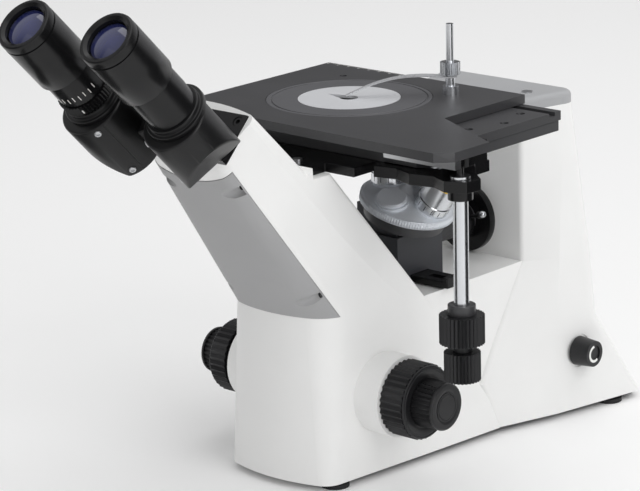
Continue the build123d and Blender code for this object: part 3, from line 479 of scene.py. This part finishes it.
def lathe(profile, around=72, closed=True):
    """A turned shape from (radius, height) pairs in millimetres, drawn up ring by ring along +Z."""
    deselect()
    radius, height = profile[0]
    bpy.ops.mesh.primitive_circle_add(vertices=around, radius=radius * MM, location=(0, 0, height * MM))
    shape = bpy.context.object
    bpy.ops.object.transform_apply(location=True)
    bpy.ops.object.mode_set(mode="EDIT")
    bpy.ops.mesh.select_all(action="SELECT")
    for next_radius, next_height in profile[1:]:
        rise = (next_height - height) * MM
        bpy.ops.mesh.extrude_edges_move(TRANSFORM_OT_translate={"value": (0, 0, rise)})
        grow = next_radius / radius
        bpy.ops.transform.resize(value=(grow, grow, 1.0))
        radius, height = next_radius, next_height
    if closed:
        bpy.ops.mesh.edge_face_add()
    bpy.ops.mesh.select_all(action="SELECT")
    bpy.ops.mesh.normals_make_consistent(inside=False)
    bpy.ops.object.mode_set(mode="OBJECT")
    bpy.ops.object.shade_smooth_by_angle(angle=radians(SMOOTH_ANGLE))
    return shape


def soften(piece, width):
    """Rounds the sharp edges of a piece."""
    only(piece)
    bpy.ops.object.mode_set(mode="EDIT")
    bpy.ops.mesh.select_mode(type="EDGE")
    bpy.ops.mesh.select_all(action="DESELECT")
    bpy.ops.mesh.edges_select_sharp(sharpness=radians(SHARP_ANGLE))
    bpy.ops.mesh.bevel(offset=width, segments=4, affect="EDGES")
    bpy.ops.object.mode_set(mode="OBJECT")
    bpy.ops.object.shade_smooth_by_angle(angle=radians(SMOOTH_ANGLE))


def join(pieces):
    """One piece out of several."""
    only(pieces[0])
    for piece in pieces[1:]:
        piece.select_set(True)
    bpy.ops.object.join()
    return bpy.context.object


class PaintStand(bpy.types.Operator):
    """Powder coat on the two castings, moulded panel, lid in a grey of painted shade, feet and bottom plate
    """
    bl_idname = "microscope.paint_stand"
    bl_label = "Stand"

    def execute(self, context):
        dress(powder_coat(), ["front_stand", "rear_housing"])
        dress(moulded_panel(), ["front_panel"])
        # The lid's grey is painted shade on the top of the tower
        dress(lid_shade_grey(), ["tower_lid"], 0.6 * MM)
        dress(rubber_foot(), ["rubber_feet"])
        dress(column_paint(), ["column_box", "lift_block", "bottom_plate"])
        return {"FINISHED"}


class FinishPlates(bpy.types.Operator):
    """Black plates of the stage and light path, and the head"""
    bl_idname = "microscope.finish_plates"
    bl_label = "Black plates and head"

    def execute(self, context):
        satin = ["turret_base", "stage_base", "stage_middle", "stage_top", "index_block", "light_tube",
                 "rod_collar"]
        dress(black_anodised(), satin, BROKEN_EDGE * MM)
        gloss = black_gloss()
        glossy = ["rod_bracket", "stage_support", "filter_slider", "lamp_flange", "iris_ring"]
        dress(gloss, glossy, BROKEN_EDGE * MM)
        dress(gloss, ["head_plate", "diopter_ring", "head_screws"])
        dress(insert_ring(), ["insert_ring"], 0.3 * MM)
        return {"FINISHED"}


class FinishKnobs(bpy.types.Operator):
    """Moulded knobs, inlet, switch and vent cover"""
    bl_idname = "microscope.finish_knobs"
    bl_label = "Knobs"

    def execute(self, context):
        dress(moulded_knob(), ["left_coarse_knob", "right_coarse_knob", "left_fine_knob", "right_fine_knob",
                               "tension_ring", "dimmer_knob", "upper_knob", "lower_knob", "power_inlet",
                               "power_switch", "vent_cover"])
        return {"FINISHED"}


class FinishMetal(bpy.types.Operator):
    """Steel and chrome pieces, and the dark fittings of the drive rod"""
    bl_idname = "microscope.finish_metal"
    bl_label = "Bright metal"

    def execute(self, context):
        dress(satin_steel(), ["focus_shaft", "fine_shaft", "drive_rack", "support_screws", "lid_screw",
                              "head_pivot"])
        dress(black_gloss(), ["inner_shaft", "drive_pinion", "rod_bearing"])
        dress(satin_disc(), ["stage_disc"])
        dress(turret_coat(), ["turret", "turret_plug"])
        dress(bright_chrome(), ["drive_rod", "objective_5x", "objective_10x", "objective_20x", "clip_post",
                                "clip_nut"])
        return {"FINISHED"}


class TurnHead(bpy.types.Operator):
    """Turned eyepieces and the two arms with their slanting ends"""
    bl_idname = "microscope.turn_head"
    bl_label = "Eyepieces and arms"

    def execute(self, context):
        gloss = black_gloss()
        satin = arm_paint()
        for name, side, waist in (("left", -1, 16.4), ("right", 1, 17.4)):
            body = lathe([(waist, 380), (waist, 401)] + EYEPIECE)
            settle(body, tube_axes(side, 0.0))
            hand_over(body, name.capitalize() + "_eyepiece_turned", gloss, name + "_tube")
            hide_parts(name + "_eyepiece")
            arm = join([self.pod(side), self.collar(side), self.bar_to_hinge(side), self.knuckle(side)])
            hand_over(arm, name.capitalize() + "_arm_cast", satin, name + "_tube")
            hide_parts(name + "_arm")
        return {"FINISHED"}

    def pod(self, side):
        """Barrel of the arm, cut off slantwise at its lower end."""
        deselect()
        tall = (ARM_TOP - ARM_LOW) * MM
        bpy.ops.mesh.primitive_cylinder_add(vertices=96, radius=POD_RADIUS * MM, depth=tall,
                                            location=(0, 0, ARM_LOW * MM + tall / 2))
        pod = bpy.context.object
        bpy.ops.object.transform_apply(location=True)
        bearing = radians(FACET_BEARING)
        rise = radians(FACET_RISE)
        facing = (side * cos(bearing) * cos(rise), sin(bearing) * cos(rise), -sin(rise))
        bpy.ops.object.mode_set(mode="EDIT")
        bpy.ops.mesh.select_all(action="SELECT")
        bpy.ops.mesh.bisect(plane_co=(0, 0, ARM_LOW * MM), plane_no=facing, use_fill=True, clear_outer=True)
        bpy.ops.object.mode_set(mode="OBJECT")
        soften(pod, 1.6 * MM)
        settle(pod, tube_axes(side, POD_DROP))
        return pod

    def collar(self, side):
        """Stepped collar that holds the tube."""
        ring = lathe(TUBE_COLLAR)
        settle(ring, tube_axes(side, 0.0))
        return ring

    def level(self, side):
        """Lower and upper height of an arm at the hinge, where one arm lies over the other."""
        middle = (ARM_LOW + ARM_TOP) / 2
        return (ARM_LOW, middle - 0.15) if side < 0 else (middle + 0.15, ARM_TOP)

    def bar_to_hinge(self, side):
        """Beam from the barrel to the hinge between the arms."""
        low, top = self.level(side)
        hinge = Vector((0, HINGE_U))
        pod = Vector((side * TUBE_X, TUBE_U))
        run = pod - hinge
        deselect()
        bpy.ops.mesh.primitive_cube_add(size=1.0)
        beam = bpy.context.object
        beam.dimensions = ((run.length - 12) * MM, 30.0 * MM, (top - low) * MM)
        bpy.ops.object.transform_apply(location=True, rotation=True, scale=True)
        soften(beam, 1.2 * MM)
        middle = hinge + run * 0.42
        spot = Vector((middle.x, 0, 0)) + ACROSS_TUBE * middle.y + UP_TUBE * (low + top) / 2
        along = Vector((run.x, 0, 0)) + ACROSS_TUBE * run.y
        settle(beam, turned_to(spot * MM, UP_TUBE, along))
        return beam

    def knuckle(self, side):
        """Eye of the arm round the hinge."""
        low, top = self.level(side)
        ring = lathe([(7.1, low), (13.4, low), (14.0, low + 0.6), (14.0, top - 0.6), (13.4, top),
                      (7.1, top)])
        settle(ring, turned_to(ACROSS_TUBE * HINGE_U * MM, UP_TUBE, (1, 0, 0)))
        return ring


class FitScrews(bpy.types.Operator):
    """Screws and seams of the binocular arms"""
    bl_idname = "microscope.fit_screws"
    bl_label = "Arm screws and seams"

    def execute(self, context):
        steel = satin_steel()
        dark = black_gloss()
        for name, side, bearing, slant in (("Left", -1, -50.0, 16.0), ("Right", 1, -130.0, -16.0)):
            spots = [head_frame(side, POD_DROP, bearing, POD_RADIUS - 0.15, t) for t in (338.0, 380.5)]
            screws = repeat(socket_screw(2.5 * MM, 1.1 * MM), spots)
            hand_over(screws, name + "_arm_screws", steel, name.lower() + "_tube")
            seam_place = head_frame(side, POD_DROP, bearing + slant, POD_RADIUS - 0.12, 359.0)
            seam = repeat(bar(50.0 * MM, 0.7 * MM, 0.22 * MM), [seam_place])
            hand_over(seam, name + "_arm_seam", dark, name.lower() + "_tube")
        return {"FINISHED"}


class SinkScrews(bpy.types.Operator):
    """Screws at the foot of the panel's slanting pockets"""
    bl_idname = "microscope.sink_screws"
    bl_label = "Panel screws"

    def execute(self, context):
        dark = black_gloss()
        slant, lean = radians(POCKET_SLANT), radians(POCKET_LEAN)
        spots = []
        for x, y, z in POCKETS:
            for side in (-1, 1):
                inward = Vector((side * cos(slant), sin(slant) * sin(lean), sin(slant) * cos(lean)))
                seat = Vector((side * (x - 1.0), y + 3.0, z + 2.4)) + inward * 3.4
                spots.append(turned_to(seat * MM, -inward, (0, 0, 1)))
        screws = repeat(socket_screw(2.2 * MM, 1.4 * MM), spots)
        hand_over(screws, "Panel_screws", dark, "stand")
        return {"FINISHED"}


class BandObjectives(bpy.types.Operator):
    """Coloured magnification bands and grip marks of the three objectives, and the turret's grip ring"""
    bl_idname = "microscope.band_objectives"
    bl_label = "Objective bands and turret grip"

    def execute(self, context):
        shades = colours()
        ink = enamel("Grip_marks", linear("3A3C40"))
        # Power, seat on the turret, height of the band above the seat and its colour
        rows = (("5x", 0, 15.0, shades.red_ring), ("10x", 2, 23.6, shades.yellow_ring),
                ("20x", 3, 27.6, shades.green_ring))
        on_barrel = turned_to((12.93 * MM, 0, 3.7 * MM), (1, 0, 0), (0, 0, 1))
        for name, index, level, rgb in rows:
            ring = repeat(band(12.42 * MM, 0.9 * MM, 0.3 * MM),
                          [seat_frame(index) @ Matrix.Translation((0, 0, level * MM))])
            hand_over(ring, "Band_" + name, enamel("Band_" + name, rgb), "nosepiece")
            grooves = []
            for step in range(GRIP_MARKS):
                turn = Matrix.Rotation(2 * pi * step / GRIP_MARKS, 4, "Z")
                grooves.append(seat_frame(index) @ turn @ on_barrel)
            marks = repeat(bar(4.4 * MM, 0.55 * MM, 0.12 * MM), grooves)
            hand_over(marks, "Grip_" + name, ink, "nosepiece")
        hand_over(self.grip_ring(GRIP_TEETH), "Turret_grip", turret_coat(), "nosepiece")
        return {"FINISHED"}

    def grip_ring(self, teeth):
        """The ribbed ring round the rim of the turret: every other strip of its wall is drawn outward."""
        ring = lathe(TURRET_RIM, 2 * teeth, closed=False)

        def strip(face):
            place = int(teeth * (1 + atan2(face.center.y, face.center.x) / pi))
            return face.area > 2 * MM * MM and abs(face.normal.z) < 0.1 and place % 2 == 0

        pick(ring, strip)
        bpy.ops.mesh.extrude_faces_move(TRANSFORM_OT_shrink_fatten={"value": GRIP_DEPTH * MM})
        bpy.ops.object.mode_set(mode="OBJECT")
        return repeat(ring, [turret_frame()])


class SetLenses(bpy.types.Operator):
    """Domed eye lenses near the rim of each eyepiece, and the scale of the focusing eyepiece"""
    bl_idname = "microscope.set_lenses"
    bl_label = "Eye lenses and diopter scale"

    def execute(self, context):
        glass = coated_glass()
        for name, side in (("Left", -1), ("Right", 1)):
            rim = head_frame(side, 0.0, 90.0, 0.0, EYE_TOP - 4.6)
            up_tube = rim @ Matrix.Rotation(pi / 2, 4, "Y")
            lens = repeat(self.dome(13.8 * MM, 2.4 * MM), [up_tube])
            hand_over(lens, name + "_lens", glass, name.lower() + "_tube")
            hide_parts(name.lower() + "_eye_lens")
        white = enamel("White_marks", colours().mark)
        ticks = []
        for step in range(-4, 5):
            bearing = DIOPTER_BEARING + DIOPTER_STEP * step
            ticks.append(head_frame(-1, 0.0, bearing, 17.98, 407.5 if step % 2 else 408.3))
        scale = repeat(bar(4.2 * MM, 0.55 * MM, 0.1 * MM), ticks)
        hand_over(scale, "Diopter_scale", white, "left_tube")
        index_place = head_frame(-1, 0.0, DIOPTER_BEARING, 19.5, 396.5)
        index = repeat(bar(3.0 * MM, 0.8 * MM, 0.1 * MM), [index_place])
        hand_over(index, "Diopter_index", white, "diopter")
        return {"FINISHED"}

    def dome(self, radius, rise):
        """A lens face: a disc drawn in ring by ring and raised to a dome along +Z."""
        deselect()
        bpy.ops.mesh.primitive_circle_add(vertices=48, radius=radius, fill_type="NGON")
        lens = bpy.context.object
        pick(lens, lambda face: True)
        rings = 7
        for ring in range(rings):
            low, high = 1 - ring / rings, 1 - (ring + 1) / rings
            lift = rise * ((1 - high ** 2) - (1 - low ** 2))
            bpy.ops.mesh.inset(thickness=0.96 * radius / rings, depth=lift)
        bpy.ops.object.mode_set(mode="OBJECT")
        bpy.ops.object.shade_smooth()
        return lens


class MarkScales(bpy.types.Operator):
    """Scale on the stage, crescent on the dimmer, caps and faces of the knobs and the iris lever's ball"""
    bl_idname = "microscope.mark_scales"
    bl_label = "Scales and marks"

    def execute(self, context):
        white = enamel("White_scale", colours().mark)
        self.stage_scale(white)
        self.dimmer_mark(white)
        self.knob_caps()
        self.lever_ball()
        return {"FINISHED"}

    def stage_scale(self, white):
        gap = sizes().tick_gap
        long_marks, short_marks = [], []
        for step in range(SCALE_MARKS):
            spot = Vector((SCALE_LEFT * MM + step * gap, STAGE_BACK * MM, STAGE_TOP * MM))
            row = short_marks if step % 5 else long_marks
            reach = 1.6 if step % 5 else 2.6
            row.append(turned_to(spot - Vector((0, reach * MM, 0)), (0, 0, 1), (0, 1, 0)))
        marks = repeat(bar(3.6 * MM, 0.55 * MM, 0.06 * MM), long_marks)
        hand_over(marks, "Stage_scale", white, "stage_cross")
        fine = repeat(bar(1.6 * MM, 0.22 * MM, 0.06 * MM), short_marks)
        hand_over(fine, "Stage_scale_fine", white, "stage_cross")

    def dimmer_mark(self, white):
        """A crescent on the end of the dimmer knob: part of a ring, cut straight and flattened."""
        deselect()
        bpy.ops.mesh.primitive_torus_add(major_segments=48, minor_segments=8, major_radius=5.6 * MM,
                                         minor_radius=1.0 * MM)
        mark = bpy.context.object
        bpy.ops.object.mode_set(mode="EDIT")
        bpy.ops.mesh.select_all(action="SELECT")
        bpy.ops.mesh.bisect(plane_co=(1.4 * MM, 0, 0), plane_no=(1, 0, 0), use_fill=True, clear_outer=True)
        bpy.ops.mesh.select_all(action="SELECT")
        bpy.ops.transform.resize(value=(1.0, 1.0, 0.12))
        bpy.ops.object.mode_set(mode="OBJECT")
        bpy.ops.object.shade_smooth_by_angle(angle=radians(40))
        place = turned_to(Vector(DIMMER_END) * MM, (1, 0, 0), (0, 1, 0.35))
        hand_over(repeat(mark, [place]), "Dimmer_mark", white, "dimmer")

    def knob_caps(self):
        """A pressed-in cap and rounded rim on the end of each fine knob, and a grooved ring behind it."""
        cover = moulded_knob()
        for name, side in (("Left", -1), ("Right", 1)):
            deselect()
            bpy.ops.mesh.primitive_cylinder_add(vertices=48, radius=10.6 * MM, depth=0.5 * MM)
            cap = bpy.context.object
            pick(cap, lambda face: face.normal.z > 0.9)
            bpy.ops.mesh.inset(thickness=0.8 * MM)
            bpy.ops.mesh.inset(thickness=0.35 * MM, depth=-0.4 * MM)
            bpy.ops.mesh.inset(thickness=0.5 * MM)
            bpy.ops.mesh.inset(thickness=0.35 * MM, depth=0.4 * MM)
            bpy.ops.object.mode_set(mode="OBJECT")
            end = turned_to(Vector((side * FINE_END, FOCUS_Y, FOCUS_Z)) * MM, (side, 0, 0), (0, 0, 1))
            cap = repeat(join([cap, lathe(FINE_RIM, closed=False)]), [end])
            hand_over(cap, name + "_knob_cap", cover, "fine_focus")
            flank = turned_to(Vector((side * COARSE_END, FOCUS_Y, FOCUS_Z)) * MM, (side, 0, 0), (0, 0, 1))
            face = repeat(lathe(COARSE_FACE, closed=False), [flank])
            hand_over(face, name + "_coarse_face", cover, "coarse_focus")

    def lever_ball(self):
        """A small polished ball, necked where it is screwed on the iris lever."""
        deselect()
        bpy.ops.mesh.primitive_uv_sphere_add(segments=24, ring_count=14, radius=2.6 * MM)
        ball = bpy.context.object
        pick(ball, lambda face: face.normal.z < -0.93)
        bpy.ops.mesh.extrude_region_move(TRANSFORM_OT_translate={"value": (0, 0, -2.2 * MM)})
        bpy.ops.object.mode_set(mode="OBJECT")
        bpy.ops.object.shade_smooth_by_angle(angle=radians(40))
        lean = radians(LEVER_LEAN)
        along = Vector((cos(lean), 0, sin(lean)))
        spot = Vector(IRIS_CENTRE) * MM + along * LEVER_REACH * MM
        ball = repeat(ball, [turned_to(spot, along, (0, 1, 0))])
        hand_over(ball, "Lever_ball", bright_chrome(), "iris")


class BendClip(bpy.types.Operator):
    """The arched leaf spring of the sample clip"""
    bl_idname = "microscope.bend_clip"
    bl_label = "Clip spring"

    def execute(self, context):
        steps = 18
        reach = CLIP_REACH * MM
        deselect()
        bpy.ops.mesh.primitive_plane_add(size=1.0)
        leaf = bpy.context.object
        leaf.dimensions = (9.0 * MM, 9.5 * MM, 0)
        bpy.ops.object.transform_apply(location=True, rotation=True, scale=True)
        bpy.ops.object.mode_set(mode="EDIT")
        bpy.ops.mesh.select_mode(type="EDGE")
        bpy.ops.mesh.select_all(action="DESELECT")
        bpy.ops.object.mode_set(mode="OBJECT")
        points = leaf.data.vertices
        for edge in leaf.data.edges:
            edge.select = all(points[i].co.x > 4.0 * MM for i in edge.vertices)
        bpy.ops.object.mode_set(mode="EDIT")
        narrow = (3.6 / 9.5) ** (1.0 / steps)
        for step in range(steps):
            fall = self.height((step + 1) / steps) - self.height(step / steps)
            bpy.ops.mesh.extrude_edges_move(TRANSFORM_OT_translate={"value": (reach / steps, 0, fall)})
            bpy.ops.transform.resize(value=(1.0, narrow, 1.0))
        bpy.ops.mesh.select_all(action="SELECT")
        bpy.ops.mesh.solidify(thickness=0.9 * MM)
        bpy.ops.mesh.normals_make_consistent(inside=False)
        bpy.ops.object.mode_set(mode="OBJECT")
        bpy.ops.object.shade_smooth_by_angle(angle=radians(35))
        post = Vector((*CLIP_POST, STAGE_TOP + CLIP_RISE)) * MM
        toward = Vector((*CLIP_TIP, 0)) * MM - Vector((*CLIP_POST, 0)) * MM
        spring = repeat(leaf, [turned_to(post, (0, 0, 1), toward)])
        hand_over(spring, "Clip_spring", spring_steel(), "clip")
        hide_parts("clip_leaf")
        return {"FINISHED"}

    def height(self, share):
        """Height of the leaf above the nut's seat, from the post to its tip."""
        return (2.6 * sin(pi * share) - 11.6 * share ** 2.2) * MM


# Bearing as a share of a turn and brightness of the white sheets and dark flags round the table
FLAGS = ((0.06, 0.50), (0.12, 0.06), (0.20, 0.06), (0.25, 0.80), (0.33, 0.95), (0.38, 0.30), (0.44, 0.90),
         (0.52, 0.95), (0.57, 0.22), (0.64, 0.18), (0.70, 0.85), (0.80, 0.70), (0.86, 0.10), (0.94, 0.12))
# Name, place, width and power of each soft box
LAMPS = (("Key", (2.0, -0.5, 1.2), 1.5, 15.5), ("Front", (-0.6, -2.0, 1.2), 1.6, 1.5),
         ("Top", (0.3, 0.6, 3.0), 4.0, 50.0))
# Name, place on the table, width and height of each dark card beside the drive rod, seen only in reflections
CARDS = (("Card_right", (0.32, 0.07), 0.30, 0.32), ("Card_left", (-0.10, -0.31), 0.26, 0.20))
ROD_SPOT = (0.14, -0.091)        # the drive rod, which the cards face, in metres
LOOK_POINT = (0, -0.041, 0.150)


class BuildStudio(bpy.types.Operator):
    """Floor, light, white surroundings and the camera"""
    bl_idname = "microscope.build_studio"
    bl_label = "Studio"

    def execute(self, context):
        scene = context.scene
        scene.view_settings.view_transform = "Standard"
        self.lay_floor()
        self.light_world(scene)
        self.hang_lamps(scene)
        self.stand_cards()
        self.aim_camera(scene)
        return {"FINISHED"}

    def lay_floor(self):
        deselect()
        bpy.ops.mesh.primitive_plane_add(size=12.0, location=(0, 0, 0))
        floor = bpy.context.object
        floor.name = "Floor"
        # Matt white painted board
        material, _, shader, _ = start_material("Studio_floor")
        shader.inputs["Base Color"].default_value = linear("FDFDFD") + (1.0,)
        shader.inputs["Roughness"].default_value = 0.9
        floor.data.materials.append(material)

    def light_world(self, scene):
        world = bpy.data.worlds.new("Studio")
        scene.world = world
        world.use_nodes = True
        tree = world.node_tree
        soft = tree.nodes["Background"]
        soft.inputs["Color"].default_value = (1.0, 1.0, 1.0, 1.0)
        soft.inputs["Strength"].default_value = sizes().sky
        white = add_node(tree, "ShaderNodeBackground", inputs=[("Color", (1, 1, 1, 1)), ("Strength", 1.0)])
        # What polished metal mirrors: white sheets with dark flags between them, and a pale ceiling
        around = add_node(tree, "ShaderNodeTexCoord").outputs["Generated"]
        bearing = add_node(tree, "ShaderNodeTexGradient", [("Vector", around)], gradient_type="RADIAL")
        flags = add_node(tree, "ShaderNodeValToRGB", [("Fac", bearing.outputs["Fac"])])
        ramp = flags.color_ramp
        ramp.elements[0].position = 0.0
        ramp.elements[1].position = 1.0
        for spot, level in FLAGS:
            ramp.elements.new(spot).color = (level, level, level * 1.02, 1.0)
        ramp.elements[0].color = ramp.elements[-1].color = (0.55, 0.55, 0.56, 1.0)
        height = add_node(tree, "ShaderNodeSeparateXYZ", [(0, around)])
        ceiling = add_node(tree, "ShaderNodeMapRange", [("Value", height.outputs["Z"])],
                           [("From Min", 0.35), ("From Max", 0.75)])
        seen_in_metal = add_node(tree, "ShaderNodeMix",
                                 [(0, ceiling.outputs["Result"]), (6, flags.outputs["Color"])],
                                 [(7, (0.62, 0.62, 0.63, 1.0))], data_type="RGBA")
        mirrored = add_node(tree, "ShaderNodeBackground", [("Color", seen_in_metal.outputs[2])])
        path = add_node(tree, "ShaderNodeLightPath")
        metal = add_node(tree, "ShaderNodeMixShader",
                         [(0, path.outputs["Is Glossy Ray"]), (1, soft.outputs[0]),
                          (2, mirrored.outputs[0])])
        direct = add_node(tree, "ShaderNodeMath",
                          [(0, path.outputs["Is Camera Ray"]), (1, path.outputs["Is Transmission Ray"])],
                          operation="MAXIMUM")
        mix = add_node(tree, "ShaderNodeMixShader",
                       [(0, direct.outputs[0]), (1, metal.outputs[0]), (2, white.outputs[0])])
        tree.links.new(mix.outputs[0], tree.nodes["World Output"].inputs["Surface"])

    def hang_lamps(self, scene):
        # Soft boxes: the key stands to the right, a weak one in front, and a wide sheet hangs above
        for name, spot, size, power in LAMPS:
            data = bpy.data.lights.new(name, "AREA")
            data.shape = "SQUARE"
            data.size = size
            data.energy = power
            lamp = bpy.data.objects.new(name, data)
            scene.collection.objects.link(lamp)
            lamp.location = spot
            aim = Vector((0.0, 0.0, 0.15)) - Vector(spot)
            lamp.rotation_euler = aim.to_track_quat("-Z", "Y").to_euler()

    def stand_cards(self):
        # Matt black board, so that bright metal has something dark to mirror
        material = grained("Black_card", linear("151517"), 2.0 * MM, 0.9, 0.05, 0.02)
        for name, spot, width, height in CARDS:
            deselect()
            bpy.ops.mesh.primitive_cube_add(size=1.0)
            card = bpy.context.object
            aim = Vector((spot[0] - ROD_SPOT[0], spot[1] - ROD_SPOT[1], 0)).normalized()
            card.matrix_world = turned_to((spot[0], spot[1], height / 2), aim, (0, 0, 1))
            card.scale = (height, width, 0.004)
            bpy.ops.object.transform_apply(location=True, rotation=True, scale=True)
            card.name = name
            card.data.materials.append(material)
            card.visible_camera = False
            card.visible_shadow = False
            card.visible_diffuse = False

    def aim_camera(self, scene):
        size = sizes()
        turn, rise, roll = size.camera_azimuth, size.camera_elevation, size.camera_roll
        back = Vector((sin(turn) * cos(rise), -cos(turn) * cos(rise), sin(rise)))
        right = Vector((cos(turn), sin(turn), 0))
        up = Vector((-sin(turn) * sin(rise), cos(turn) * sin(rise), cos(rise)))
        spot = Vector(LOOK_POINT) + right * size.camera_right + up * size.camera_up
        spot += back * size.camera_distance
        rolled_right = right * cos(roll) - up * sin(roll)
        rolled_up = right * sin(roll) + up * cos(roll)
        data = bpy.data.cameras.new("Camera")
        data.lens = size.camera_lens
        data.sensor_width = 36.0
        data.clip_end = 50.0
        camera = bpy.data.objects.new("Camera", data)
        scene.collection.objects.link(camera)
        facing = Matrix((rolled_right, rolled_up, back)).transposed().to_4x4()
        camera.matrix_world = Matrix.Translation(spot) @ facing
        scene.camera = camera


class MICROSCOPE_PT_panel(bpy.types.Panel):
    """Lists the steps that finish the microscope"""
    bl_label = "Microscope"
    bl_idname = "MICROSCOPE_PT_panel"
    bl_space_type = "VIEW_3D"
    bl_region_type = "UI"
    bl_category = "Microscope"

    def draw(self, context):
        for step in STEPS:
            self.layout.operator(step.bl_idname)


STEPS = (PaintStand, FinishPlates, FinishKnobs, FinishMetal, TurnHead, FitScrews, SinkScrews, BandObjectives,
         SetLenses, MarkScales, BendClip, BuildStudio)
GROUPS = (MicroscopeColours, MicroscopeSizes)


def register():
    for kind in GROUPS + STEPS + (MICROSCOPE_PT_panel,):
        bpy.utils.register_class(kind)
    bpy.types.Scene.microscope_colours = bpy.props.PointerProperty(type=MicroscopeColours)
    bpy.types.Scene.microscope_sizes = bpy.props.PointerProperty(type=MicroscopeSizes)


def unregister():
    del bpy.types.Scene.microscope_colours
    del bpy.types.Scene.microscope_sizes
    for kind in reversed(GROUPS + STEPS + (MICROSCOPE_PT_panel,)):
        bpy.utils.unregister_class(kind)


def main():
    register()
    for step in STEPS:
        group, name = step.bl_idname.split(".")
        getattr(getattr(bpy.ops, group), name)()


if __name__ == "__main__":
    main()
